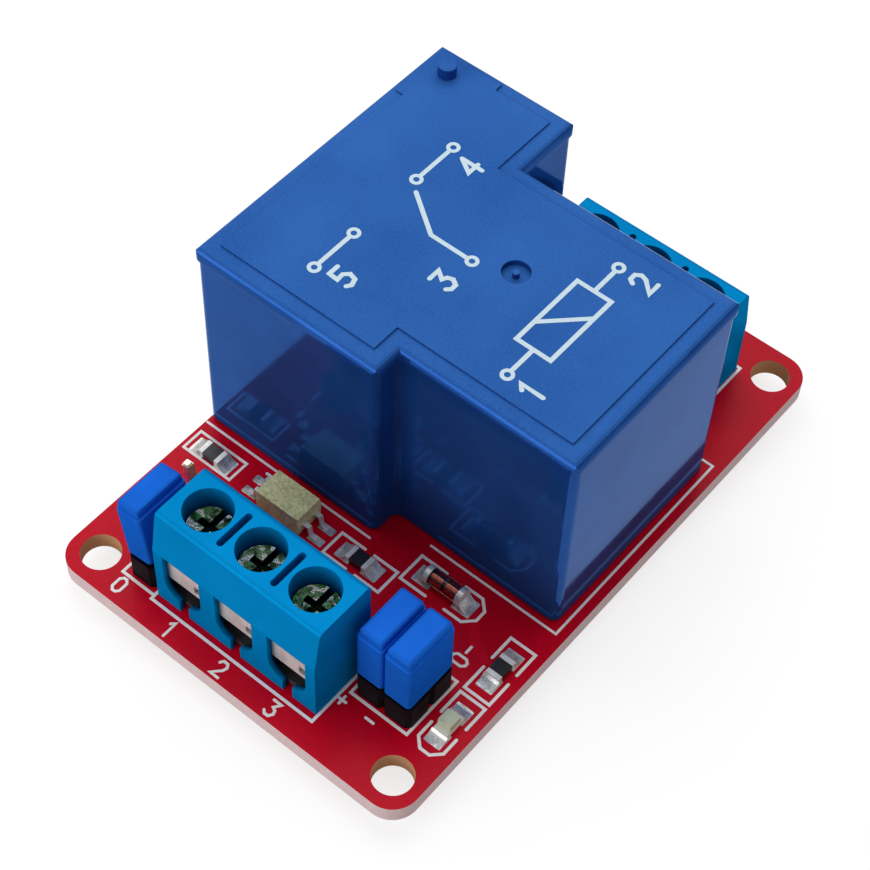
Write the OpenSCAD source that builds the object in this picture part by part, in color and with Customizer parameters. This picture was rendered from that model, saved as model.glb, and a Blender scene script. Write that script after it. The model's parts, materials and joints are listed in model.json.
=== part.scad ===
// Relay module board: one power relay switched through an optocoupler, with a
// three-pole screw terminal at each end and jumper caps on pin headers.
//
// Frame: X across the board, Y along it from the input end to the output end,
// Z up. The origin is the centre of the four mounting holes, on the underside.
// Every height named "above the board" is counted from the board's top face.

/* [Board] */
// Thickness of the board
board_t = 1.6; // [1.2:0.1:2.4]
// Radius of the board's four corners
corner_r = 2.25; // [1.5:0.25:3.5]
// Diameter of the mounting holes
hole_d = 3.2; // [2.6:0.1:3.5]
// Mounting hole centre to the board's long edge
hole_inset_x = 2.5; // [2.3:0.1:2.8]
// Mounting hole centre to the board's short edge
hole_inset_y = 2.6; // [2.3:0.1:2.8]
// Board's left edge to the relay
relay_left = -0.2; // [-0.3:0.05:1.5]
// Relay to the board's right edge
relay_right = 1.2; // [1:0.1:3]
// Board's front edge to the input terminal block
front_margin = 2.7; // [2:0.1:5]
// Width of the strip between the input block and the relay
strip_w = 8.4; // [8:0.1:12]
// Relay's narrow end to the output terminal block
rear_gap = 3.55; // [1:0.05:5]
// Output terminal block to the board's rear edge
rear_margin = 3.85; // [3:0.05:8]

/* [Relay housing] */
// Length of the relay along X
relay_l = 32.8; // [31.5:0.1:36]
// Width of the relay's wide end along Y
relay_w = 28.2; // [27.6:0.1:32]
// Height of the relay above the board
relay_h = 20.2; // [19.2:0.1:23]
// Length of the wide end on the front side
wide_front = 17.4; // [15:0.1:19]
// Length of the wide end on the rear side
wide_rear = 13.2; // [11:0.1:14]
// Depth of the step on the front side
step_front = 2.5; // [1.5:0.1:2.8]
// Depth of the step on the rear side
step_rear = 6.3; // [4:0.1:6.5]
// Wall thickness of the cover
cover_wall = 1.1; // [0.8:0.1:1.3]
// Radius of the cover's upright and upper edges
cover_r = 0.7; // [0.2:0.05:0.8]
// How far the lip under the top stands out from the walls
lip_out = 0.15; // [0.05:0.05:0.3]
// Height of that lip
lip_h = 1; // [0.9:0.1:1.4]
// Width of the lowered band around the top
band_w = 1.5; // [1:0.1:2]
// Depth of the lowered band
band_d = 0.15; // [0.1:0.05:0.3]
// Length of the flush corner beside the vent nib
flush_corner = 6.5; // [4:0.5:8]
// Diameter of the vent nib
nib_d = 1.5; // [1:0.1:2]
// Height of the vent nib
nib_h = 1; // [0.5:0.1:1.5]
// Centre of the vent nib to both walls of its corner
nib_inset = 2.6; // [2:0.1:4]
// Gate dimple's centre to the relay's right end
gate_x = 13.8; // [10:0.1:20]
// Gate dimple's centre to the relay's rear side
gate_y = 14.8; // [10:0.1:18]
// Diameter of the gate dimple
gate_d = 2.2; // [1.5:0.1:3]
// Depth of the gate dimple
gate_depth = 0.5; // [0.2:0.1:0.7]
// Thickness of the base plate
base_t = 1.8; // [1.4:0.1:2]
// Height of the feet under the base plate
foot_h = 0.3; // [0.2:0.05:0.5]

/* [Relay motor] */
// Clear space between the bobbin's flanges and the cover
motor_gap = 0.65; // [0.3:0.05:1]
// Thickness of the bobbin's flanges
flange_t = 0.9; // [0.6:0.1:1.2]
// Height of the bobbin
bobbin_h = 10; // [9:0.1:10.1]
// Winding to the rim of the bobbin's flanges
winding_inset = 0.6; // [0.4:0.05:1.2]
// Diameter of the bobbin's tube
tube_d = 7.6; // [7.2:0.1:8.4]
// Diameter of the iron core
core_d = 6; // [5:0.1:6.4]
// Diameter of the pole face
pole_d = 9; // [8:0.1:10]
// Thickness of the pole face
pole_t = 1; // [0.7:0.1:1.2]
// Sheet thickness of the yoke
yoke_t = 1.2; // [1:0.1:1.4]
// Width of the yoke
yoke_w = 12; // [10:0.1:13]
// Gap between the yoke and the bobbin's flange
yoke_gap = 0.6; // [0.3:0.1:1]
// Thickness of the armature
armature_t = 1.4; // [1:0.1:1.5]
// Width of the armature
armature_w = 11; // [9:0.1:12]
// Angle through which the armature tips
armature_deg = 5; // [3:0.5:5]
// Thickness of the contact spring
spring_t = 0.3; // [0.2:0.05:0.4]
// Width of the contact spring
spring_w = 5; // [4:0.1:6]
// Clear space between the cover and the outer contact's post
post_gap = 0.35; // [0.2:0.05:0.6]
// Diameter of the contact buttons
button_d = 3; // [2.5:0.1:3.4]
// Thickness of the contact buttons
button_t = 0.6; // [0.4:0.05:0.7]
// Sheet thickness of the relay's terminals
blade_t = 0.7; // [0.5:0.05:0.8]
// Width of the relay's terminals
blade_w = 4; // [3:0.1:5]
// Width of a terminal's solder tail
tail_w = 2; // [1.5:0.1:2.2]
// Side of the coil pins
coil_pin = 0.8; // [0.6:0.05:1]

/* [Terminal blocks] */
// Distance between neighbouring poles
pole_pitch = 5.08; // [5:0.02:5.3]
// Number of poles in a block
poles = 3; // [3:1:3]
// Depth of a block
block_d = 6; // [5.9:0.1:7]
// Height of a block above the board
block_h = 10; // [9.7:0.1:12]
// Plastic added at both ends of a block
block_end = 0.18; // [0.1:0.02:0.5]
// How far the sloping face leans back
slope_in = 0.6; // [0.3:0.1:0.9]
// Height at which the sloping face starts
slope_z = 6; // [5.5:0.1:6.2]
// Input block's centre to the board's centre line
input_x = -0.72; // [-1.2:0.02:-0.3]
// Relay's wide end to the output block
output_gap = 0.2; // [0.1:0.1:2]
// Screw axis to the block's outer face
screw_y = 3.3; // [3.2:0.05:3.4]
// Diameter of the screw wells
well_d = 3.8; // [3.7:0.05:4]
// Diameter of the screw heads
head_d = 3.5; // [3.2:0.05:3.6]
// Thickness of the screw heads
head_t = 1.2; // [0.9:0.1:1.4]
// Height of the screw heads' underside above the board
head_z = 6.7; // [6.6:0.05:7]
// Diameter of the screws
screw_d = 2.6; // [2.3:0.05:2.7]
// Diameter of the neck at a screw's tip
neck_d = 1.4; // [1:0.1:1.6]
// Width of the wire ports
port_w = 3.6; // [3.2:0.1:3.9]
// Height of the lip under the wire ports
port_lip = 1.2; // [0.8:0.1:1.6]
// Width of the slit through that lip
slit_w = 0.9; // [0.6:0.1:1.2]
// Thickness of the wall around the wire ports
port_wall = 0.45; // [0.35:0.05:0.55]
// Width of the grooves between the screw wells
groove_w = 0.55; // [0.4:0.05:0.65]
// Length of those grooves
groove_l = 3.5; // [2.5:0.1:4]
// Depth of those grooves
groove_d = 1.5; // [0.5:0.1:2]

/* [Wire clamps] */
// Width of the pressure plates
press_w = 3.9; // [3.7:0.05:4]
// Sheet thickness of the pressure plates
press_t = 0.4; // [0.3:0.05:0.45]
// Height of a pressure plate's underside above the board
press_z = 2.7; // [2.6:0.05:2.8]
// Height of a pressure plate's front flap
flap_h = 2.2; // [1.8:0.1:2.3]
// Height of the notch beside that flap
notch_h = 0.8; // [0.5:0.1:1]
// Pole's centre to that notch
notch_x = 0.7; // [0.4:0.1:1.2]
// Travel of the pressure plates up and down
press_travel = 1.2; // [0.8:0.1:1.2]
// Sheet thickness of the contact frames
frame_t = 0.5; // [0.4:0.05:0.5]
// Width of the contact frames
frame_w = 3.6; // [3:0.1:3.9]
// Thickness of the contact frames' threaded top
frame_nut = 0.9; // [0.7:0.1:0.9]
// Height of the contact frames' floor above the board
floor_z = 0.4; // [0.3:0.05:0.5]
// Width of a contact frame's solder tail
tail_pin_w = 1; // [0.8:0.1:1.4]

/* [Headers and jumper caps] */
// Distance between neighbouring header pins
pin_pitch = 2.54; // [2.5:0.02:2.6]
// Side of the square header pins
pin_side = 0.64; // [0.5:0.02:0.7]
// Height of the headers' plastic
header_h = 2.5; // [2:0.1:2.7]
// Length of the pins above that plastic
pin_up = 5.3; // [4.5:0.1:5.3]
// Clear space between the trigger header and the input block
trigger_gap = 0.5; // [0.4:0.1:1]
// Trigger header to the board's front edge
trigger_y = 2.8; // [2.5:0.1:3.5]
// Angle by which the trigger header's pins lean outwards
trigger_lean = 8; // [0:1:9]
// Clear space between the input block and the supply header
supply_gap = 0.8; // [0.5:0.1:1.5]
// Supply header to the board's front edge
supply_y = 6; // [5.5:0.1:7]
// Width of a jumper cap
cap_w = 2.4; // [2.2:0.02:2.46]
// Length of a jumper cap
cap_l = 5; // [4.9:0.02:5.06]
// Height of a jumper cap
cap_h = 5.8; // [5.8:0.1:7]
// Height of the narrower grip on a jumper cap
grip_h = 0.8; // [0.5:0.1:1.2]
// How far the grip is set in from the cap's sides
grip_in = 0.14; // [0.08:0.02:0.25]
// Gap between a jumper cap and the header's plastic
cap_gap = 0.25; // [0.2:0.05:0.4]
// Sheet thickness of the spring clip in a cap
clip_t = 0.2; // [0.15:0.01:0.25]

/* [Small parts] */
// Length of the chip resistors and of the light
chip_l = 2; // [1.6:0.1:2.4]
// Width of the chip resistors and of the light
chip_w = 1.25; // [0.8:0.05:1.4]
// Height of the chip resistors
chip_h = 0.55; // [0.4:0.05:0.7]
// Length of a chip's metal ends
chip_end = 0.4; // [0.2:0.05:0.5]
// Width across the optocoupler's body
opto_w = 4.4; // [4:0.1:4.8]
// Length of the optocoupler's body
opto_l = 2.6; // [2.4:0.1:2.8]
// Height of the optocoupler's body
opto_h = 2; // [1.6:0.1:2.3]
// Reach of the optocoupler's legs from its body
opto_leg = 1.3; // [1:0.1:1.5]
// Distance between neighbouring optocoupler legs
opto_pitch = 1.27; // [1.2:0.01:1.4]
// Diameter of the diode
diode_d = 1.5; // [1.3:0.1:1.8]
// Length of the diode
diode_l = 3.5; // [3.2:0.1:3.9]
// Length of the diode's metal ends
diode_end = 0.45; // [0.3:0.05:0.6]
// Thickness of the light's carrier
led_base = 0.4; // [0.3:0.05:0.5]
// Height of the light's lens
led_lens = 0.65; // [0.4:0.05:0.9]
// Length of the transistor's body
sot_l = 2.9; // [2.7:0.1:3.1]
// Width of the transistor's body
sot_w = 1.3; // [1.2:0.1:1.5]
// Height of the transistor's body
sot_h = 1; // [0.8:0.1:1.2]
// Length of the transistor's legs
sot_leg = 0.6; // [0.5:0.05:0.7]
// Row of small parts to the relay's wide end
row_gap = 2.5; // [2.2:0.1:2.8]
// Diode to the relay's narrow end
diode_gap = 2.8; // [2.5:0.1:3.3]
// Transistor's centre to the input block
sot_gap = 2.4; // [2.3:0.1:2.5]
// Input block's centre line to the optocoupler
opto_x = 5.5; // [5.2:0.1:5.8]
// Input block's centre line to the second resistor
resistor_2_x = 1.7; // [1.4:0.1:2.2]
// Input block's centre line to the transistor
sot_x = 4.2; // [3.9:0.1:4.5]
// Supply header's centre line to the diode
diode_x = 2.9; // [2.5:0.1:3.2]
// First resistor's centre to the board's left edge
resistor_x = 2.85; // [2.5:0.05:3]
// Supply header to the centre line of the light and the third resistor
light_gap = 1.94; // [1.7:0.02:2.3]
// Light's centre to the board's front edge
light_y = 8.2; // [7.5:0.1:9]
// Third resistor's centre to the board's front edge
resistor_y = 14.1; // [13.5:0.1:15]

/* [Soldering] */
// Length of the solder tails under the board
tail_l = 1.6; // [1.3:0.1:2.5]
// Height of the solder cones under the board
cone_h = 1; // [0.7:0.1:1.2]
// Width of the solder ring around a hole
ring_w = 0.35; // [0.25:0.05:0.5]
// Length of the solder fillets at the small parts
fillet_l = 0.9; // [0.4:0.05:1.1]

/* [Hidden] */
$fn = 48;
slack = 0.05;
foot_t = 0.12;
lead_t = 0.15;
lead_w = 0.4;
hole_play = 0.2;
tip = 0.02;

// Board
blocks_w = poles * pole_pitch + 2 * block_end;
board_w = relay_left + relay_l + relay_right;
board_l = front_margin + block_d + strip_w + relay_w - step_rear
        + rear_gap + block_d + rear_margin;
left = -board_w / 2;
front = -board_l / 2;
hole_x = board_w / 2 - hole_inset_x;
hole_y = board_l / 2 - hole_inset_y;
tail_z = -board_t - tail_l;

// Terminal blocks
input_y = front + front_margin;
output_y = board_l / 2 - rear_margin;
output_x = left + relay_left + wide_rear + output_gap + blocks_w / 2;
leg_y1 = block_d - 0.5;
leg_y0 = leg_y1 - frame_t;
leg_mid = (leg_y0 + leg_y1) / 2;
flap_y = port_wall + 0.1;
cavity_w = press_w + 0.3;
port_top = slope_z - 0.05;
press_gap = 0.1;
nut_z0 = press_z + press_t + press_travel + press_gap;
nut_z1 = nut_z0 + frame_nut;
cavity_top = max(nut_z1, press_z + flap_h + press_travel) + press_gap;

// Relay
relay_x = left + relay_left;
relay_y = input_y + block_d + strip_w;
stem_y0 = step_front;
stem_y1 = relay_w - step_rear;
wall = cover_wall + lip_out;
inside_top = relay_h - cover_wall - band_d;
base_z = foot_h + base_t;
flange_d = stem_y1 - stem_y0 - 2 * (wall + motor_gap);
winding_d = flange_d - 2 * winding_inset;
coil_x = relay_l - wall - motor_gap - flange_d / 2;
coil_y = (stem_y0 + stem_y1) / 2;
coil_pin_x = coil_x + flange_d * 0.34;
coil_pin_y = flange_d / 3;
yoke_x0 = coil_x - flange_d / 2 - yoke_gap - yoke_t;
bobbin_z = base_z + yoke_t;
yoke_z1 = bobbin_z + bobbin_h + pole_t;
yoke_foot_x1 = coil_pin_x - coil_pin / 2 - 1;
arm_z = yoke_z1 + slack;
arm_x0 = yoke_x0 - 0.6;
arm_x1 = coil_x + pole_d / 2 + 0.4;
spring_z = arm_z + armature_t;
no_x = wall + post_gap;
contact_x = no_x + blade_t + button_d;
contact_reach = yoke_x0 - contact_x;
drop = contact_reach * sin(armature_deg);
spring_rim = button_d / 5;
edge_dip = (button_d / 2 + spring_rim) * sin(armature_deg) + slack;
no_z = spring_z + spring_t + button_t + slack;
nc_z = spring_z - button_t - drop - edge_dip;
nc_y = coil_y + spring_w / 2 + blade_w;

// Headers and caps
trigger_x = input_x - blocks_w / 2 - trigger_gap - pin_pitch / 2;
trigger_pin_y = front + trigger_y + pin_pitch / 2;
supply_x = input_x + blocks_w / 2 + supply_gap + pin_pitch;
supply_pin_y = front + supply_y + pin_pitch / 2;
knee_z = header_h + 0.1;
clip_in = pin_side / 2 + slack;
clip_out = clip_in + clip_t;
clip_y = pin_pitch / 2 + pin_side / 2 + 0.15;
clip_h = 3.6;

// Small parts
row_y = relay_y - row_gap;
resistor_1_at = [left + resistor_x, row_y];
resistor_2_at = [input_x + resistor_2_x, row_y];
resistor_3_at = [supply_x + pin_pitch + light_gap, front + resistor_y];
light_at = [supply_x + pin_pitch + light_gap, front + light_y];
opto_at = [input_x - opto_x, row_y];
diode_at = [supply_x - diode_x, relay_y + step_front - diode_gap];
transistor_at = [input_x - sot_x, input_y + block_d + sot_gap];
sot_pitch = 0.95;

// Places of the solder tails: [x, y, width, depth]
input_tails = [for (i = [0:poles - 1])
    [input_x + (i - (poles - 1) / 2) * pole_pitch, input_y + leg_mid, tail_pin_w, frame_t]];
output_tails = [for (i = [0:poles - 1])
    [output_x + (i - (poles - 1) / 2) * pole_pitch, output_y - leg_mid, tail_pin_w, frame_t]];
trigger_tails = [for (i = [0:2])
    [trigger_x, trigger_pin_y + i * pin_pitch, pin_side, pin_side]];
supply_tails = [for (i = [-1, 1], j = [0, 1])
    [supply_x + i * pin_pitch / 2, supply_pin_y + j * pin_pitch, pin_side, pin_side]];
relay_tails = [
    [relay_x + no_x + blade_t / 2, relay_y + coil_y, blade_t, tail_w],
    [relay_x + contact_x, relay_y + nc_y + blade_t / 2, tail_w, blade_t],
    [relay_x + yoke_x0 - blade_t / 2, relay_y + coil_y, blade_t, tail_w],
    [relay_x + coil_pin_x, relay_y + coil_y - coil_pin_y, coil_pin, coil_pin],
    [relay_x + coil_pin_x, relay_y + coil_y + coil_pin_y, coil_pin, coil_pin]];
tails = concat(input_tails, output_tails, trigger_tails, supply_tails, relay_tails);

// ---------------------------------------------------------------- helpers

// Turns every corner of an outline into an arc of radius r with n steps.
function fillet(pts, r, n = 5) = [
    for (i = [0:len(pts) - 1])
        let (
            p = pts[i],
            a = pts[(i + len(pts) - 1) % len(pts)] - p,
            b = pts[(i + 1) % len(pts)] - p,
            ua = a / norm(a),
            ub = b / norm(b),
            c = p + (ua + ub) * r,
            from = -ub * r,
            to = -ua * r)
        for (k = [0:n]) c + from * cos(90 * k / n) + to * sin(90 * k / n)];

// A closed skin through rings of equal length: each ring is [outline, height].
module skin(rings) {
    n = len(rings[0][0]);
    m = len(rings);
    points = [for (ring = rings, p = ring[0]) [p.x, p.y, ring[1]]];
    sides = [for (k = [0:m - 2], i = [0:n - 1])
        let (a = k * n, b = a + n, j = (i + 1) % n) [a + i, b + i, b + j, a + j]];
    bottom = [for (i = [0:n - 1]) i];
    top = [for (i = [0:n - 1]) m * n - 1 - i];
    polyhedron(points, concat([bottom, top], sides));
}

// Outline of a rectangle of w by l about the origin.
function rect(w, l) = [[-w / 2, -l / 2], [w / 2, -l / 2], [w / 2, l / 2], [-w / 2, l / 2]];

// A box of w by l about the origin in X and Y, from z0 to z1.
module post(w, l, z0, z1) {
    translate([-w / 2, -l / 2, z0]) cube([w, l, z1 - z0]);
}

// A profile drawn in Y and Z, extruded along X about the origin.
module along_x(w) {
    translate([-w / 2, 0, 0]) rotate([90, 0, 90]) linear_extrude(w) children();
}

// Puts its children on the board's top face.
module on_board(at) {
    translate([at[0], at[1], board_t]) children();
}

// ------------------------------------------------------------------ board

module pcb() {
    color("crimson") difference() {
        union() {
            post(board_w - 2 * corner_r, board_l, 0, board_t);
            post(board_w, board_l - 2 * corner_r, 0, board_t);
            for (sx = [-1, 1], sy = [-1, 1])
                translate([sx * (board_w / 2 - corner_r), sy * (board_l / 2 - corner_r), 0])
                    cylinder(h = board_t, r = corner_r);
        }
        for (sx = [-1, 1], sy = [-1, 1])
            translate([sx * hole_x, sy * hole_y, -1])
                cylinder(h = board_t + 2, d = hole_d);
        for (t = tails)
            translate([t[0], t[1], -1])
                cylinder(h = board_t + 2, r = tail_hole_r(t));
    }
}

// Radius of the plated hole for a tail.
function tail_hole_r(t) = norm([t[2], t[3]]) / 2 + hole_play;

module tail_solder() {
    color("silver") for (t = tails)
        translate([t[0], t[1], 0]) difference() {
            union() {
                translate([0, 0, -cone_h])
                    cylinder(h = cone_h, r1 = norm([t[2], t[3]]) / 2 + 0.1, r2 = tail_hole_r(t) + ring_w);
                cylinder(h = board_t - slack, r = tail_hole_r(t) - tip);
            }
            post(t[2], t[3], -cone_h - 1, board_t + 1);
        }
}

// ------------------------------------------------------------------ relay

// T-shaped outline of the relay, set in by d on every side.
function relay_outline(d) = [
    [d, d], [wide_front - d, d], [wide_front - d, stem_y0 + d], [relay_l - d, stem_y0 + d],
    [relay_l - d, stem_y1 - d], [wide_rear - d, stem_y1 - d], [wide_rear - d, relay_w - d],
    [d, relay_w - d]];

// The raised field of the top: it reaches the edges only at the nib's corner.
function top_field(d, e) = [
    [d, d], [wide_front - d, d], [wide_front - d, stem_y0 + d], [relay_l - d, stem_y0 + d],
    [relay_l - d, stem_y1 - d], [wide_rear - d, stem_y1 - d], [wide_rear - d, relay_w - d],
    [flush_corner, relay_w - d], [flush_corner, relay_w - e], [e, relay_w - e],
    [e, relay_w - flush_corner], [d, relay_w - flush_corner]];

module at_relay() {
    translate([relay_x, relay_y, board_t]) children();
}

// Cross-section of a block from a to b whose two upper corners are rounded.
function arch(a, b, z0, z1, r, n = 5) = [
    [a, z0], [b, z0],
    for (k = [0:n]) [b - r + r * cos(90 * k / n), z1 - r + r * sin(90 * k / n)],
    for (k = [0:n]) [a + r - r * sin(90 * k / n), z1 - r + r * cos(90 * k / n)]];

// A block with rounded upright and upper edges.
module soft_block(x0, y0, x1, y1, z0, z1, r) {
    intersection() {
        translate([(x0 + x1) / 2, (y0 + y1) / 2, z0])
            linear_extrude(z1 - z0) polygon(fillet(rect(x1 - x0, y1 - y0), r));
        translate([(x0 + x1) / 2, 0, 0]) along_x(x1 - x0 + 2) polygon(arch(y0, y1, z0, z1, r));
        translate([0, y1 + 1, 0]) rotate([90, 0, 0])
            linear_extrude(y1 - y0 + 2) polygon(arch(x0, x1, z0, z1, r));
    }
}

module relay_cover() {
    top = relay_h - band_d;
    lip_z = top - lip_h;
    color("royalblue") at_relay() difference() {
        union() {
            translate([0, 0, foot_h]) linear_extrude(lip_z + lip_h / 4 - foot_h)
                polygon(fillet(relay_outline(lip_out), cover_r));
            soft_block(0, 0, wide_rear, relay_w, lip_z, top, cover_r);
            soft_block(wide_rear / 4, 0, wide_front, stem_y1, lip_z, top, cover_r);
            soft_block(wide_rear / 2, stem_y0, relay_l, stem_y1, lip_z, top, cover_r);
            translate([0, 0, top - cover_r / 2])
                linear_extrude(band_d + cover_r / 2) polygon(top_field(band_w, cover_r + tip));
            translate([nib_inset, relay_w - nib_inset, top])
                cylinder(h = band_d + nib_h, d = nib_d);
        }
        translate([0, 0, foot_h - 1])
            linear_extrude(inside_top - foot_h + 1) polygon(relay_outline(wall));
        translate([relay_l - gate_x, relay_w - gate_y, relay_h]) rotate_extrude()
            translate([gate_d / 8, -gate_depth]) square([gate_d * 3 / 8, gate_depth + 1]);
    }
}

module relay_base() {
    inset = wall + slack;
    foot_in = 3.5;
    color("midnightblue") at_relay() difference() {
        union() {
            translate([0, 0, foot_h]) linear_extrude(base_t) polygon(relay_outline(inset));
            for (at = [[foot_in, foot_in], [foot_in, relay_w - foot_in],
                       [relay_l - foot_in, stem_y0 + foot_in], [relay_l - foot_in, stem_y1 - foot_in]])
                translate([at[0], at[1], 0]) cylinder(h = foot_h + 0.1, d = 2);
        }
        for (t = relay_tails)
            translate([t[0] - relay_x, t[1] - relay_y, 0]) post(t[2], t[3], -1, base_z + 1);
    }
}

module coil_bobbin() {
    color("ivory") at_relay() translate([coil_x, coil_y, bobbin_z]) rotate_extrude(convexity = 4)
        difference() {
            square([flange_d / 2, bobbin_h]);
            translate([tube_d / 2, flange_t]) square([flange_d, bobbin_h - 2 * flange_t]);
            translate([-1, -1]) square([1 + core_d / 2, bobbin_h + 2]);
        }
}

module coil_winding() {
    color("chocolate") at_relay() translate([coil_x, coil_y, bobbin_z + flange_t])
        rotate_extrude(convexity = 4)
            translate([tube_d / 2, 0])
                square([(winding_d - tube_d) / 2, bobbin_h - 2 * flange_t]);
}

// Diameter of the core's riveted end in the yoke.
function rivet_d() = core_d * 2 / 3;

module coil_core() {
    color("slategray") at_relay() translate([coil_x, coil_y, 0]) {
        translate([0, 0, base_z]) cylinder(h = yoke_t, d = rivet_d());
        translate([0, 0, bobbin_z]) cylinder(h = bobbin_h, d = core_d);
        translate([0, 0, bobbin_z + bobbin_h]) cylinder(h = pole_t, d = pole_d);
    }
}

module yoke() {
    color("gray") at_relay() translate([0, coil_y - yoke_w / 2, base_z]) difference() {
        union() {
            translate([yoke_x0, 0, 0]) cube([yoke_foot_x1 - yoke_x0, yoke_w, yoke_t]);
            translate([yoke_x0, 0, 0]) cube([yoke_t, yoke_w, yoke_z1 - base_z]);
        }
        translate([coil_x, yoke_w / 2, -1]) cylinder(h = yoke_t + 2, d = rivet_d());
    }
}

// Tips the armature about the yoke's upper edge, from closed to open.
module tipped() {
    at_relay() translate([yoke_x0, coil_y, yoke_z1]) rotate([0, -armature_deg, 0])
        translate([-yoke_x0, -coil_y, -yoke_z1]) children();
}

module armature() {
    color("darkgray") tipped()
        translate([arm_x0, coil_y - armature_w / 2, arm_z])
            cube([arm_x1 - arm_x0, armature_w, armature_t]);
}

module contact_spring() {
    color("goldenrod") tipped() {
        translate([contact_x - button_d / 2 - spring_rim, coil_y - spring_w / 2, spring_z])
            cube([coil_x - contact_x, spring_w, spring_t]);
        translate([contact_x, coil_y, spring_z - button_t])
            cylinder(h = spring_t + 2 * button_t, d = button_d);
        for (s = [-1, 1])
            translate([yoke_x0 + spring_w / 2, coil_y + s * spring_w / 4, spring_z])
                cylinder(h = spring_t + 0.3, d = 1);
    }
}

module no_terminal() {
    color("darkkhaki") at_relay() {
        translate([no_x, coil_y - blade_w / 2, base_z])
            cube([blade_t, blade_w, no_z + button_t + blade_t - base_z]);
        translate([no_x, coil_y - blade_w / 2, no_z + button_t])
            cube([contact_x + button_d / 2 - no_x, blade_w, blade_t]);
        translate([contact_x, coil_y, no_z]) cylinder(h = button_t + blade_t / 2, d = button_d);
        translate([no_x + blade_t / 2, coil_y, 0]) post(blade_t, tail_w, tail_z, base_z + 0.5);
    }
}

module nc_terminal() {
    color("darkkhaki") at_relay() {
        translate([contact_x - blade_w / 2, coil_y - button_d / 2 - 0.3, nc_z - button_t - blade_t])
            cube([blade_w, nc_y + blade_t - coil_y + button_d / 2 + 0.3, blade_t]);
        translate([contact_x - blade_w / 2, nc_y, base_z])
            cube([blade_w, blade_t, nc_z - button_t - base_z]);
        translate([contact_x, coil_y, nc_z - button_t - blade_t / 2])
            cylinder(h = button_t + blade_t / 2, d = button_d);
        translate([contact_x, nc_y + blade_t / 2, 0]) post(tail_w, blade_t, tail_z, base_z + 0.5);
    }
}

module common_terminal() {
    color("darkkhaki") at_relay() translate([yoke_x0 - blade_t / 2, coil_y, 0]) {
        post(blade_t, blade_w, base_z, base_z + bobbin_h / 2);
        post(blade_t, tail_w, tail_z, base_z + 0.5);
    }
}

module coil_pins() {
    color("silver") at_relay() for (s = [-1, 1])
        translate([coil_pin_x, coil_y + s * coil_pin_y, 0]) post(coil_pin, coil_pin, tail_z, bobbin_z);
}

// -------------------------------------------------------- terminal blocks

// A block's own frame: X across its poles, Y from its outer face inwards.
module at_input() {
    translate([input_x, input_y, board_t]) children();
}

module at_output() {
    translate([output_x, output_y, board_t]) rotate([0, 0, 180]) children();
}

// X of a pole in its block's frame.
function pole_x(i) = (i - (poles + 1) / 2) * pole_pitch;

module block_profile() {
    r = 0.4;
    top_y = slope_in;
    polygon([
        [0, 0], [0, slope_z],
        for (a = [0:30:90]) [top_y + r * (1 - cos(a)), block_h - r * (1 - sin(a))],
        for (a = [0:30:90]) [block_d - r * (1 - sin(a)), block_h - r * (1 - cos(a))],
        [block_d, 0]]);
}

module housing() {
    difference() {
        along_x(blocks_w) block_profile();
        for (i = [1:poles]) translate([pole_x(i), 0, 0]) {
            translate([0, screw_y, cavity_top - 1]) cylinder(h = block_h, d = well_d);
            translate([-cavity_w / 2, port_wall, -1])
                cube([cavity_w, leg_y1 + slack - port_wall, cavity_top + 1]);
            port();
        }
        for (i = [1:poles - 1]) translate([pole_x(i) + pole_pitch / 2, screw_y, block_h])
            groove();
    }
}

// A wire port: square above, round below, with a slit through its lip.
module port() {
    r = port_w / 2;
    translate([-r, -1, port_lip + r]) cube([port_w, port_wall + 2, port_top - port_lip - r]);
    translate([0, -1, port_lip + r]) rotate([-90, 0, 0]) cylinder(h = port_wall + 2, r = r);
    post(slit_w, 2 * port_wall + 1, -1, port_lip + r);
}

module groove() {
    straight = groove_l - groove_w;
    post(groove_w, straight, -groove_d, 1);
    for (s = [-1, 1]) translate([0, s * straight / 2, -groove_d])
        cylinder(h = groove_d + 1, d = groove_w, $fn = 24);
}

// A pressure plate: the screw's neck turns in it, and its flap closes the port.
module press(i) {
    translate([pole_x(i), 0, press_z]) difference() {
        union() {
            translate([-press_w / 2, flap_y, 0])
                cube([press_w, leg_y0 - 0.25 - flap_y, press_t]);
            translate([-press_w / 2, flap_y, 0]) cube([press_w, press_t, flap_h]);
        }
        translate([notch_x, flap_y - 1, press_t]) cube([press_w, press_t + 2, notch_h]);
        translate([0, screw_y, -1]) cylinder(h = press_t + 2, r = neck_d / 2 + slack);
    }
}

module screw(i) {
    cross_w = 0.55;
    cross_d = head_t * 0.6;
    shank_z = press_z + press_t + slack;
    translate([pole_x(i), screw_y, 0]) difference() {
        union() {
            translate([0, 0, head_z]) cylinder(h = head_t, d = head_d);
            translate([0, 0, shank_z]) cylinder(h = head_z + 0.1 - shank_z, d = screw_d);
            translate([0, 0, press_z + slack]) cylinder(h = press_t + 0.1, d = neck_d);
        }
        post(cross_w, head_d + 1, head_z + head_t - cross_d, head_z + head_t + 1);
        post(head_d * 0.6, cross_w, head_z + head_t - cross_d, head_z + head_t + 1);
    }
}

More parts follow.
